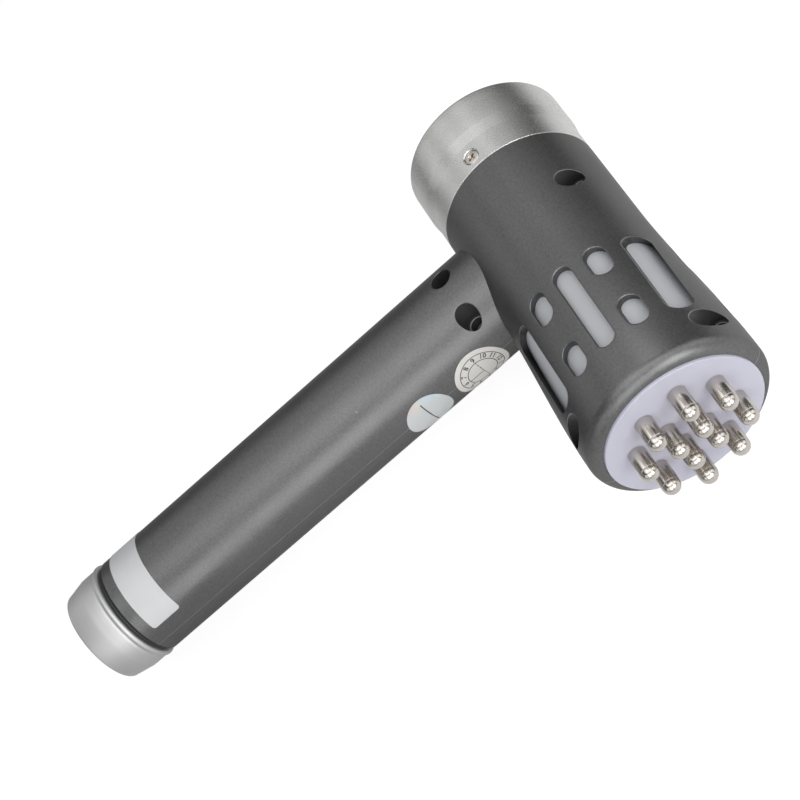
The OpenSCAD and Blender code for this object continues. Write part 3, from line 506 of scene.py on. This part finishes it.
def mouth_tool(places, height, deep, lip, turn=0, wall=None):
    """A tool that cuts an opening straight down through a curved wall and rounds its rim by lip.

    The function height gives the wall's height at a place, and deep is the height where the cut ends.
    The tool is made for an opening in the top and then turned round the barrel. The middle of the rounded
    rim is coloured lighter, a painted highlight, and so is its lower part over an unpainted wall."""
    wall = wall or casing_finish
    step, overrun, clear = 0.01, 0.3, 38
    columns = []
    for (x, y), (out_x, out_y) in places:
        corner = Vector((x, y, height(x, y)))
        slope_x = (height(x + step, y) - height(x - step, y)) / (2 * step)
        slope_y = (height(x, y + step) - height(x, y - step)) / (2 * step)
        normal = Vector((-slope_x, -slope_y, 1)).normalized()
        side = Vector((-out_y, out_x, -slope_x * out_y + slope_y * out_x)).normalized()
        below = corner - Vector((0, 0, lip))
        beyond = corner + side.cross(normal) * lip
        curve = [below * (1 - t) ** 2 + corner * 2 * t * (1 - t) + beyond * t * t for t in (1 / 3, 2 / 3)]
        past = beyond + (beyond - curve[1]).normalized() * overrun
        columns.append([Vector((x, y, deep)), below, *curve, past, Vector((past.x, past.y, clear))])
    lay_bare()
    count = len(columns)
    bpy.ops.mesh.primitive_circle_add(vertices=count, radius=MM, fill_type="NOTHING")
    tool = bpy.context.object
    bpy.ops.object.mode_set(mode="EDIT")
    bpy.ops.mesh.select_all(action="SELECT")
    for _ in columns[0][1:]:
        bpy.ops.mesh.extrude_edges_move(TRANSFORM_OT_translate={"value": (0, 0, MM)})
    bpy.ops.object.mode_set(mode="OBJECT")
    spin = Matrix.Rotation(math.radians(turn), 3, "X")
    spots = [spin @ station * MM for ring in zip(*columns) for station in ring]
    tool.data.vertices.foreach_set("co", [value for spot in spots for value in spot])
    bpy.ops.object.mode_set(mode="EDIT")
    bpy.ops.mesh.select_all(action="DESELECT")
    bpy.ops.mesh.select_mode(type="EDGE")
    bpy.ops.mesh.select_non_manifold()
    bpy.ops.mesh.edge_face_add()
    bpy.ops.mesh.select_all(action="SELECT")
    bpy.ops.mesh.normals_make_consistent(inside=False)
    bpy.ops.mesh.select_mode(type="VERT")
    bpy.ops.object.mode_set(mode="OBJECT")
    # The middle of the rim, and for a bore its lower part too, gets the lighter finish: a painted highlight.
    for material in (wall, casing_finish, edge_highlight_finish):
        tool.data.materials.append(material)
    highlighted_rings = (2,) if wall == casing_finish else (1, 2)
    for face in tool.data.polygons:
        ring = min(face.vertices) // count
        face.material_index = 2 if ring in highlighted_rings else 0 if ring == 0 else 1
    return tool


def masked(tree, colour, value, low, high, over):
    """Lays another colour over a finish where a value lies between two limits."""
    mask = tree.nodes.new("ShaderNodeMapRange")
    mask.interpolation_type = "SMOOTHSTEP"
    mask.inputs["From Min"].default_value = low
    mask.inputs["From Max"].default_value = high
    tree.links.new(value, mask.inputs["Value"])
    blend = tree.nodes.new("ShaderNodeMix")
    blend.data_type = "RGBA"
    tree.links.new(mask.outputs["Result"], blend.inputs["Factor"])
    tree.links.new(colour, blend.inputs["A"])
    blend.inputs["B"].default_value = (*over, 1)
    return blend.outputs["Result"]


# A thin lighter band along the split is a painted highlight, and a few light flecks lie on the paint.
casing_finish = finish("satin grey paint", (0.150, 0.151, 0.150), 0.37, metallic=0.85, grain=0.7,
                       grain_tone=0.34, patch=22, patch_tone=0.05, spread=0.10, relief=0.015)
tree = casing_finish.node_tree
paint = tree.nodes["Principled BSDF"]
paint.inputs["Specular Tint"].default_value = (0.6, 0.6, 0.6, 1)
position = tree.nodes.new("ShaderNodeSeparateXYZ")
tree.links.new(tree.nodes["mapping"].outputs["Vector"], position.inputs["Vector"])
off_split = tree.nodes.new("ShaderNodeMath")
off_split.operation = "ABSOLUTE"
tree.links.new(position.outputs["Z"], off_split.inputs[0])
# The band within a fraction of a millimetre of the split gets a light grey: a painted highlight.
colour = masked(tree, tree.nodes["surface"].outputs["Colour"], off_split.outputs[0],
                0.16 * MM, 0.09 * MM, (0.42, 0.42, 0.42))
flecks = tree.nodes.new("ShaderNodeTexVoronoi")
flecks.inputs["Scale"].default_value = 1 / (13 * MM)
tree.links.new(tree.nodes["mapping"].outputs["Vector"], flecks.inputs["Vector"])
colour = masked(tree, colour, flecks.outputs["Distance"], 0.026, 0.016, (0.30, 0.30, 0.295))
tree.links.new(colour, paint.inputs["Base Color"])
raw_plastic = finish("raw grey moulding", (0.042, 0.042, 0.043), 0.45, grain=0.3, grain_tone=0.1, patch=9)
# The rims' lighter finish is a painted highlight.
edge_highlight_finish = finish("painted edge highlight", (0.21, 0.21, 0.205), 0.36, metallic=0.85, grain=0.7, grain_tone=0.3)
step_highlight_finish = finish("painted step highlight", (0.30, 0.30, 0.30), 0.4, grain=0.3, grain_tone=0.2)
coat(casing, casing_finish)

# The windows stand in rows round the flare: long ones in every second row, pairs of short ones in the
# rows between, and the pairs at the split lie half in each shell.
window_x0, window_x1, window_w = 82.5, 118.0, 6.6
short_len = 11.9
window_lip = 0.5
row_pitch = 11.3
short_ends = [(window_x0, window_x0 + short_len), (window_x1 - short_len, window_x1)]


def window(x0, x1, y, deep, turn):
    """The tool of one window, cut down to a height over the barrel's axis."""
    return mouth_tool(stadium(x0, x1, y, window_w), barrel_height, deep, window_lip, turn)


cuts = []
for turn in (0, 180):
    for row in (-2, 0, 2):
        cuts.append(window(window_x0, window_x1, row * row_pitch, 0.5, turn))
    for row in (-1, 1):
        cuts += [window(x0, x1, row * row_pitch, 0.5, turn) for x0, x1 in short_ends]
for turn in (-90, 90):
    cuts += [window(x0, x1, 0, 22, turn) for x0, x1 in short_ends]

# Each screw's bore is unpainted. Its wide mouth ends at a shelf whose slanted edge is coloured light, a
# painted highlight; a narrower hole goes down to the screw's head, and a thin one goes on for the thread.
bore_r, bore_lip = 3.8, 0.35
head_r, step_r, thread_r = 2.8, 3.05, 1.5
bores = []
for x, y, shelf in screw_places:
    height = handle_height if y < -barrel_back_r else barrel_height
    cuts.append(mouth_tool(circle(x, y, bore_r), height, shelf, bore_lip, wall=raw_plastic))
    outline = [(3, 0), (3, head_r), (shelf - 0.25, head_r), (shelf, step_r), (shelf + 0.5, step_r),
               (shelf + 0.5, 0)]
    step = turned("step", outline, start=(x, y, 0), along=(0, 0, 1), out=(1, 0, 0), steps=40)
    bores += [step, drill(thread_r, (x, y, -10.1), (0, 0, 1), 14, 24)]
# The slanted faces of each step get the light finish: a painted highlight.
for bore in bores:
    coat(bore, raw_plastic)
    bore.data.materials.append(step_highlight_finish)
    for face in bore.data.polygons:
        slanted = 0.2 < abs(face.normal.z) < 0.95
        face.material_index = 1 if slanted else 0
cuts += bores

# The button's hole, the slot for its board, the groove for the return strip, and the holes for the
# screws of the rear cap and of the driver board.
button_hole_r = 6.65
board_screw_ring_r, board_screw_r = 23.25, 0.85
cap_screw_x = 23
cap_screw_turns = [math.radians(3 + 120 * i) for i in range(3)]
cap_screw_ways = [Vector((0, -math.sin(a), math.cos(a))) for a in cap_screw_turns]
cuts.append(drill(button_hole_r, (30, button_y, 0), (1, 0, 0), 7, 64))
cuts.append(block((42.8, -82, -13), (44.4, -58, 13)))
cuts.append(block((47.9, -173, -15.7), (52.1, -119, -15.1)))
cuts += [drill(thread_r, (cap_screw_x, 0, 0), way, 28, 24) for way in cap_screw_ways]
for y, z in places_on_ring(board_screw_ring_r, 4, 45):
    cuts.append(drill(board_screw_r, (7.4, y, z), (1, 0, 0), 8, 16))
shaped(casing, cuts)

split = 0.05
for name, low, high in [("casing_upper", split, 40), ("casing_lower", -40, -split)]:
    lay_bare()
    casing.select_set(True)
    bpy.context.view_layer.objects.active = casing
    bpy.ops.object.duplicate()
    half = bpy.context.object
    half.name = half.data.name = name.replace("casing", "painted")
    shaped(half, [block((-5, -200, low), (150, 40, high))], "INTERSECT")
    smoothed(half, 38)
    weigh = half.modifiers.new("weigh", "WEIGHTED_NORMAL")
    weigh.keep_sharp = True
    bpy.ops.object.modifier_apply(modifier=weigh.name)
    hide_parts(name)
    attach(half, "casing")
bpy.data.objects.remove(casing)

# Casing screws. Five nickelled steel screws sit deep in the upper half's bores and pull the halves
# together.
coat(nodes["casing_screws"], screw_finish)

# Rear cap. A thick cap turned from aluminium, with a rounded rear edge and a shallow cone in front of
# its wider part, bead-blasted and clear anodised. Three countersunk screws hold it on the spigot.
cap_wide_r, cap_front_r, cap_flat_r, cap_inner_r = 28.6, 28, 27.6, 24.9
cap_outline = [(0, 0), (0, 8), (0, 18), (0, cap_flat_r)]
for i in range(1, 9):
    a = math.radians(90 * i / 8)
    cap_outline.append((1 - math.cos(a), cap_flat_r + math.sin(a)))
cap_outline += [(4, cap_wide_r), (8, cap_wide_r), (13.4, cap_wide_r), (13.8, 28.57), (17.8, 28.02),
                (18.2, cap_front_r), (23, cap_front_r), (27.7, cap_front_r), (28, 27.7), (28, cap_inner_r),
                (3.5, cap_inner_r), (3.5, 0)]
cap = turned("blasted_cap", cap_outline, steps=192)
sink_outline = [(20, 0), (20, 1.5), (25.85, 1.5), (27.05, 2.65), (27.35, 2.65), (27.75, 3.0), (30, 3.2),
                (30, 0)]
forward = Vector((1, 0, 0))
sinks = [turned("sink", sink_outline, start=(cap_screw_x, 0, 0), along=way, out=forward, steps=48)
         for way in cap_screw_ways]
smoothed(shaped(cap, sinks), 30)
cap_finish = finish("blasted aluminium", (0.67, 0.67, 0.66), 0.27, metallic=1.0, grain=0.30,
                    grain_tone=0.18, patch=14, patch_tone=0.02, spread=0.07, relief=0.024)
coat(cap, cap_finish)
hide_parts("rear_cap")
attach(cap, "casing")

# Cap screws. Countersunk cross-head screws of nickel plated steel, with slightly domed heads, which
# sit in the cap's sinks and go through the spigot's wall.
screw_outline = [(20.9, 0), (20.9, 1.45), (25.95, 1.45), (27.15, 2.5), (27.3, 2.5), (27.4, 2.35),
                 (27.48, 1.6), (27.5, 0.8), (27.5, 0)]


def cross_arm(out, turn):
    """The tool of one arm of the cross in a screw's head, which narrows towards its floor."""
    way = Quaternion(out, math.radians(turn)) @ forward
    side = out.cross(way)
    lay_bare()
    bpy.ops.mesh.primitive_cube_add(size=1)
    arm = bpy.context.object
    shape = []
    for corner in arm.data.vertices:
        length, width, height = (1.6, 0.44, 27.7) if corner.co.z > 0 else (0.75, 0.28, 26.2)
        spot = Vector((cap_screw_x, 0, 0)) + out * height
        spot += way * math.copysign(length, corner.co.x) + side * math.copysign(width, corner.co.y)
        shape += list(spot * MM)
    arm.data.vertices.foreach_set("co", shape)
    bpy.ops.object.mode_set(mode="EDIT")
    bpy.ops.mesh.select_all(action="SELECT")
    bpy.ops.mesh.normals_make_consistent(inside=False)
    bpy.ops.object.mode_set(mode="OBJECT")
    return arm


screws = []
for way in cap_screw_ways:
    screw = turned("screw", screw_outline, start=(cap_screw_x, 0, 0), along=way, out=forward, steps=48)
    screws.append(shaped(screw, [cross_arm(way, turn) for turn in (30, 120)]))
cap_screws = smoothed(joined("crosshead_screws", screws), 30)
coat(cap_screws, screw_finish)
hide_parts("cap_screws")
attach(cap_screws, "casing")

# Tail cap, its contact and spring. The cap is turned from aluminium with a fine satin skin: a half-round
# lip, a small step, a straight band and a long taper to the rounded end. It screws into the collar, and
# its brass disc and steel spring press on the cell.
plug_start, plug_r, plug_inner_r = 176, 14.85, 13.5
lip_s, lip_r, lip_edge = 189.3, 18.2, 1.1
tail_face = 205.0
tail_outline = [(plug_start, plug_inner_r), (plug_start, plug_r), (lip_s, plug_r), (lip_s, lip_r)]
for i in range(1, 15):
    a = math.radians(150 * i / 14)
    tail_outline.append((lip_s + lip_edge - lip_edge * math.cos(a), lip_r + lip_edge * math.sin(a)))
tail_outline += [(191.6, 18.68), (191.9, 18.7), (192.2, 18.86), (192.5, 18.9), (194.5, 18.9),
                 (196.3, 18.9), (197.3, 18.87)]
for i in range(9):
    a = math.radians(10 + 80 * i / 8)
    tail_outline.append((tail_face - 1 + math.sin(a), 16.6 + math.cos(a)))
tail_outline += [(tail_face, 12), (tail_face, 6), (tail_face, 0), (201.8, 0), (201.8, plug_inner_r),
                 (plug_start, plug_inner_r)]
tail = turned("satin_tail_cap", tail_outline, steps=160, **to_tail)
smoothed(tail)
tail_finish = finish("satin aluminium", (0.60, 0.605, 0.60), 0.55, metallic=1.0, grain=0.12,
                     grain_tone=0.04, patch=12, patch_tone=0.02, spread=0.03, relief=0.003)
coat(tail, tail_finish)
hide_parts("tail_cap")
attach(tail, "cap")
coat(nodes["contact_disc"], brass_finish)
coat(nodes["contact_spring"], screw_finish)

# Tail ring. A black rubber ring with a round section seals the gap between the handle's end and the
# cap's lip.
ring_s, ring_r, ring_t = 188.65, 17.3, 0.6
ring_outline = []
for i in range(25):
    a = math.radians(360 * i / 24)
    ring_outline.append((ring_s + ring_t * math.sin(a), ring_r + ring_t * math.cos(a)))
ring = turned("sealing_ring", ring_outline, steps=144, **to_tail)
smoothed(ring)
coat(ring, rubber_finish)
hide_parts("tail_ring")
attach(ring, "seal")

# Tail label. A blank strip of silver film with rounded corners, cut flat and stuck round the end of
# the handle, a few degrees off the middle of its upper side.
film_t, print_t = 0.15, 0.01


def wrapped(name, outline, s, turn):
    """A flat outline of (round, along) in millimetres, stuck on the handle at a place and an angle."""
    lay_bare()
    bpy.ops.mesh.primitive_circle_add(vertices=len(outline), radius=MM, fill_type="NOTHING")
    piece = bpy.context.object
    piece.name = piece.data.name = name
    piece.data.vertices.foreach_set("co", [v * MM for u, w in outline for v in (u, w, 0)])
    bpy.ops.object.mode_set(mode="EDIT")
    bpy.ops.mesh.select_all(action="SELECT")
    bpy.ops.mesh.edge_face_add()
    low = min(u for u, w in outline)
    high = max(u for u, w in outline)
    spacing = 1.5
    for i in range(1, math.ceil((high - low) / spacing)):
        bpy.ops.mesh.select_all(action="SELECT")
        bpy.ops.mesh.bisect(plane_co=((low + i * spacing) * MM, 0, 0), plane_no=(1, 0, 0))
    bpy.ops.mesh.select_all(action="SELECT")
    bpy.ops.mesh.normals_make_consistent(inside=False)
    bpy.ops.object.mode_set(mode="OBJECT")
    return wrap(piece, s, turn, film_t)


def wrap(piece, s, turn, thick, lift=0.0):
    """Lays a flat mesh on the handle, or on a film of that lift, and gives it its thickness."""
    spots = []
    inner = handle_r + lift
    for corner in piece.data.vertices:
        a = math.radians(turn) + corner.co.x / (handle_r * MM)
        spots += [handle_x * MM + inner * MM * math.sin(a), -s * MM + corner.co.y, inner * MM * math.cos(a)]
    piece.data.vertices.foreach_set("co", spots)
    lay_bare()
    piece.select_set(True)
    bpy.context.view_layer.objects.active = piece
    bpy.ops.object.mode_set(mode="EDIT")
    bpy.ops.mesh.select_all(action="SELECT")
    bpy.ops.mesh.normals_make_consistent(inside=False)
    bpy.ops.object.mode_set(mode="OBJECT")
    middle = piece.data.polygons[len(piece.data.polygons) // 2]
    way = Vector((middle.center.x - handle_x * MM, 0, middle.center.z))
    if middle.normal.dot(way) < 0:
        piece.data.flip_normals()
    thicken = piece.modifiers.new("thicken", "SOLIDIFY")
    thicken.thickness = thick * MM
    thicken.offset = 1.0
    bpy.ops.object.modifier_apply(modifier=thicken.name)
    return smoothed(piece)


def rounded_strip(half_u, half_w, corner):
    """Outline of a strip with rounded corners."""
    outline = []
    for cu, cw, first in [(1, 1, 0), (-1, 1, 90), (-1, -1, 180), (1, -1, 270)]:
        for i in range(7):
            a = math.radians(first + 15 * i)
            outline.append((cu * (half_u - corner) + corner * math.cos(a),
                            cw * (half_w - corner) + corner * math.sin(a)))
    return outline


label = wrapped("silver_label", rounded_strip(21.5, 6, 1.2), 177, 4)
label_finish = finish("silver film", (0.51, 0.52, 0.53), 0.38, grain=0.3, grain_tone=0.03)
coat(label, label_finish)
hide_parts("tail_label")
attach(label, "casing")

# Dial seal. A round paper seal across the split, printed with two thin rings, the numbers 1 to 12
# between them and a cross of thin lines in the middle.
dial_place = (43, 97)
outer_ring_r, inner_ring_r, number_r = 8.1, 5.4, 6.75
line_w = 0.26


def disc(r):
    """Outline of a round film or paper."""
    turns = [math.radians(360 * i / 72) for i in range(72)]
    return [(r * math.cos(a), r * math.sin(a)) for a in turns]


def flat_ring(radius, width):
    """A thin flat ring in the plane z = 0, ready to be laid on the handle."""
    lay_bare()
    bpy.ops.mesh.primitive_circle_add(vertices=96, radius=(radius - width / 2) * MM, fill_type="NOTHING")
    ring = bpy.context.object
    bpy.ops.object.mode_set(mode="EDIT")
    bpy.ops.mesh.select_all(action="SELECT")
    bpy.ops.mesh.extrude_edges_move()
    grow = (radius + width / 2) / (radius - width / 2)
    bpy.ops.transform.resize(value=(grow, grow, 1))
    bpy.ops.object.mode_set(mode="OBJECT")
    return ring


def flat_bar(low, high, cuts=6):
    """A thin flat bar in the plane z = 0 between two corners in millimetres."""
    lay_bare()
    low, high = Vector((*low, 0)) * MM, Vector((*high, 0)) * MM
    bpy.ops.mesh.primitive_plane_add(size=1, location=(low + high) / 2)
    bpy.ops.transform.resize(value=(high.x - low.x, high.y - low.y, 1))
    bpy.ops.object.transform_apply(location=True, rotation=True, scale=True)
    bpy.ops.object.mode_set(mode="EDIT")
    bpy.ops.mesh.select_all(action="SELECT")
    bpy.ops.mesh.subdivide(number_cuts=cuts)
    bpy.ops.object.mode_set(mode="OBJECT")
    return bpy.context.object


def dial_number(hour):
    """One number of the dial, a flat mesh that stands upright to the dial's middle."""
    a = math.radians(87 - 30 * hour)
    lay_bare()
    bpy.ops.object.text_add()
    number = bpy.context.object
    number.data.body = str(hour)
    number.data.size = 2.5 * MM
    number.data.offset = 0.05 * MM
    number.data.align_x = "CENTER"
    number.data.align_y = "CENTER"
    number.data.resolution_u = 3
    bpy.ops.object.convert(target="MESH")
    number = bpy.context.object
    number.location = (number_r * MM * math.cos(a), number_r * MM * math.sin(a), 0)
    number.rotation_euler = (0, 0, a - math.pi / 2)
    bpy.ops.object.transform_apply(location=True, rotation=True, scale=True)
    return number


seal = wrapped("paper_seal", disc(10), *dial_place)
coat(seal, finish("seal paper", (0.66, 0.64, 0.61), 0.5, grain=0.2, grain_tone=0.04, patch=4))
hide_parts("dial_seal")
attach(seal, "casing")
marks = [flat_ring(outer_ring_r, line_w), flat_ring(inner_ring_r, line_w)]
marks += [flat_bar((-inner_ring_r, 0.2), (inner_ring_r, 0.46)), flat_bar((0.06, -inner_ring_r), (0.32, 0.25))]
marks += [dial_number(hour) for hour in range(1, 13)]
print_marks = wrap(joined("dial_print", marks), *dial_place, print_t, film_t)
coat(print_marks, finish("black print", (0.018, 0.018, 0.019), 0.5, grain=0.1, grain_tone=0.3, patch=3))
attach(print_marks, "casing")

# Round seal. A silvery film disc stuck on the handle below the dial seal, with a faint rainbow tint at
# its upper edge and one dark dividing line.
film_s, film_turn = 65.1, 95
film_r = 8.5
tint_reach = 7
film = wrapped("film_seal", disc(film_r), film_s, film_turn)
film_finish = finish("rainbow film", (0.50, 0.52, 0.52), 0.3, grain=0.3, grain_tone=0.03)
tree = film_finish.node_tree
spread = tree.nodes.new("ShaderNodeMapping")
spread.inputs["Location"].default_value = (0.5, film_s / (2 * film_r) + 0.5, -0.25)
spread.inputs["Scale"].default_value = (0, 1 / (2 * film_r * MM), 1 / (tint_reach * MM))
parts = tree.nodes.new("ShaderNodeSeparateXYZ")
bands = tree.nodes.new("ShaderNodeValToRGB")
for spot, colour in [(0.0, (0.47, 0.50, 0.55)), (0.28, (0.60, 0.46, 0.46)), (0.45, (0.62, 0.55, 0.45)),
                     (0.62, (0.45, 0.58, 0.68)), (0.8, (0.42, 0.57, 0.68)), (1.0, (0.50, 0.53, 0.52))]:
    stop = bands.color_ramp.elements.new(spot)
    stop.color = (*colour, 1)
blend = tree.nodes.new("ShaderNodeMix")
blend.data_type = "RGBA"
blend.inputs["A"].default_value = (0.50, 0.52, 0.52, 1)
tree.links.new(tree.nodes["Texture Coordinate"].outputs["Object"], spread.inputs["Vector"])
tree.links.new(spread.outputs["Vector"], parts.inputs[0])
tree.links.new(parts.outputs["Y"], bands.inputs["Fac"])
tree.links.new(bands.outputs["Color"], blend.inputs["B"])
tree.links.new(parts.outputs["Z"], blend.inputs["Factor"])
tree.links.new(blend.outputs["Result"], tree.nodes["surface"].inputs["Colour"])
coat(film, film_finish)
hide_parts("round_seal")
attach(film, "casing")
dash = wrap(flat_bar((-6.4, -0.21), (6.6, 0.21), 9), film_s, film_turn, print_t, film_t)
dash.name = dash.data.name = "film_line"
coat(dash, finish("black line", (0.03, 0.03, 0.032), 0.5, grain=0.1, grain_tone=0.2, patch=3))
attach(dash, "casing")

# Floor. A pale matt floor just under the wand. The camera sees it almost white. Its colour is darker away
# from the wand's head, a painted shade that stands in for shaded surroundings, which the wand reflects.
floor_height = -0.0312
lay_bare()
bpy.ops.mesh.primitive_plane_add(size=6, location=(0, 0, floor_height))
floor = bpy.context.object
floor.name = "floor"
floor_finish = bpy.data.materials.new("pale floor")
floor_finish.use_nodes = True
tree = floor_finish.node_tree
floor_shader = tree.nodes["Principled BSDF"]
floor_shader.inputs["Roughness"].default_value = 0.9
place = tree.nodes.new("ShaderNodeTexCoord")
from_head = tree.nodes.new("ShaderNodeVectorMath")
from_head.operation = "DISTANCE"
from_head.inputs[1].default_value = (0.10, 0.07, 0)
# The floor's colour runs from 0.92 near the head down to 0.4 further out: a painted shade.
painted_floor_shade = tree.nodes.new("ShaderNodeMapRange")
painted_floor_shade.inputs["From Min"].default_value = 0.08
painted_floor_shade.inputs["From Max"].default_value = 0.33
painted_floor_shade.inputs["To Min"].default_value = 0.92
painted_floor_shade.inputs["To Max"].default_value = 0.4
tree.links.new(place.outputs["Object"], from_head.inputs[0])
tree.links.new(from_head.outputs["Value"], painted_floor_shade.inputs["Value"])
tree.links.new(painted_floor_shade.outputs["Result"], floor_shader.inputs["Base Color"])
white = tree.nodes.new("ShaderNodeEmission")
white.inputs["Strength"].default_value = 1.28
rays = tree.nodes.new("ShaderNodeLightPath")
camera_share = tree.nodes.new("ShaderNodeMath")
camera_share.operation = "MULTIPLY"
camera_share.inputs[1].default_value = 0.7
mix = tree.nodes.new("ShaderNodeMixShader")
tree.links.new(rays.outputs["Is Camera Ray"], camera_share.inputs[0])
tree.links.new(camera_share.outputs[0], mix.inputs["Fac"])
tree.links.new(floor_shader.outputs["BSDF"], mix.inputs[1])
tree.links.new(white.outputs["Emission"], mix.inputs[2])
tree.links.new(mix.outputs[0], tree.nodes["Material Output"].inputs["Surface"])
floor.data.materials.append(floor_finish)

# Lamps and sky. Big soft lamps stand on a dome round the wand's middle, a small one near the barrel
# lights the flare, and the camera sees a white surround that gives little light itself.
wand_middle = Vector((0.06, -0.06, 0))
lamp_distance = 1.3
high_size, low_size = 0.95, 0.7
# Each soft lamp: its direction from the wand's middle and its power in watts. Those high up are bigger.
lamps = [((-0.62, 0.64, 0.45), 0.3), ((-0.62, 0.33, 0.71), 0.7), ((-0.62, -0.07, 0.78), 1.1),
         ((-0.62, -0.45, 0.64), 0.9), ((-0.62, -0.71, 0.33), 0.8), ((-0.93, -0.21, 0.30), 0.2),
         ((-0.17, -0.21, 0.96), 1.45), ((0.20, -0.21, 0.96), 3.2), ((0.63, -0.21, 0.75), 2.0),
         ((0.92, -0.21, 0.33), 4.2), ((0.85, 0.40, 0.33), 5.4), ((0.60, -0.75, 0.28), 1.6),
         ((0.20, 0.93, 0.28), 2.0), ((-0.10, -0.95, 0.28), 0.4), ((0.35, 0.60, 0.72), 3.2),
         ((0.37, 0.20, 0.91), 2.8), ((-0.38, 0.36, 0.85), 0.9), ((0.80, 0.57, 0.18), 1.8)]


def lamp(name, place, aim, size, power):
    """A soft square lamp that the camera doesn't see, with its size in metres and its power in watts."""
    light = bpy.data.lights.new(name, "AREA")
    light.shape = "SQUARE"
    light.size = size
    light.energy = power
    holder = bpy.data.objects.new(name, light)
    holder.visible_camera = False
    bpy.context.scene.collection.objects.link(holder)
    place, aim = Vector(place), Vector(aim)
    turn = (place - aim).to_track_quat("Z", "Y")
    holder.matrix_world = Matrix.Translation(place) @ turn.to_matrix().to_4x4()


for i, (way, power) in enumerate(lamps):
    size = high_size if way[2] > 0.5 else low_size
    lamp(f"soft lamp {i}", wand_middle + Vector(way) * lamp_distance, wand_middle, size, power)
lamp("near lamp", (0.004, 0.083, 0.232), (0.128, 0.008, 0.03), 0.1, 0.035)
world = bpy.data.worlds.new("surround")
bpy.context.scene.world = world
world.use_nodes = True
tree = world.node_tree
sky = tree.nodes["Background"]
sky.inputs["Color"].default_value = (1, 1, 1, 1)
rays = tree.nodes.new("ShaderNodeLightPath")
level = tree.nodes.new("ShaderNodeMapRange")
level.inputs["To Min"].default_value = 0.08
level.inputs["To Max"].default_value = 1.0
tree.links.new(rays.outputs["Is Camera Ray"], level.inputs["Value"])
tree.links.new(level.outputs["Result"], sky.inputs["Strength"])

bpy.context.scene.view_settings.view_transform = "Standard"
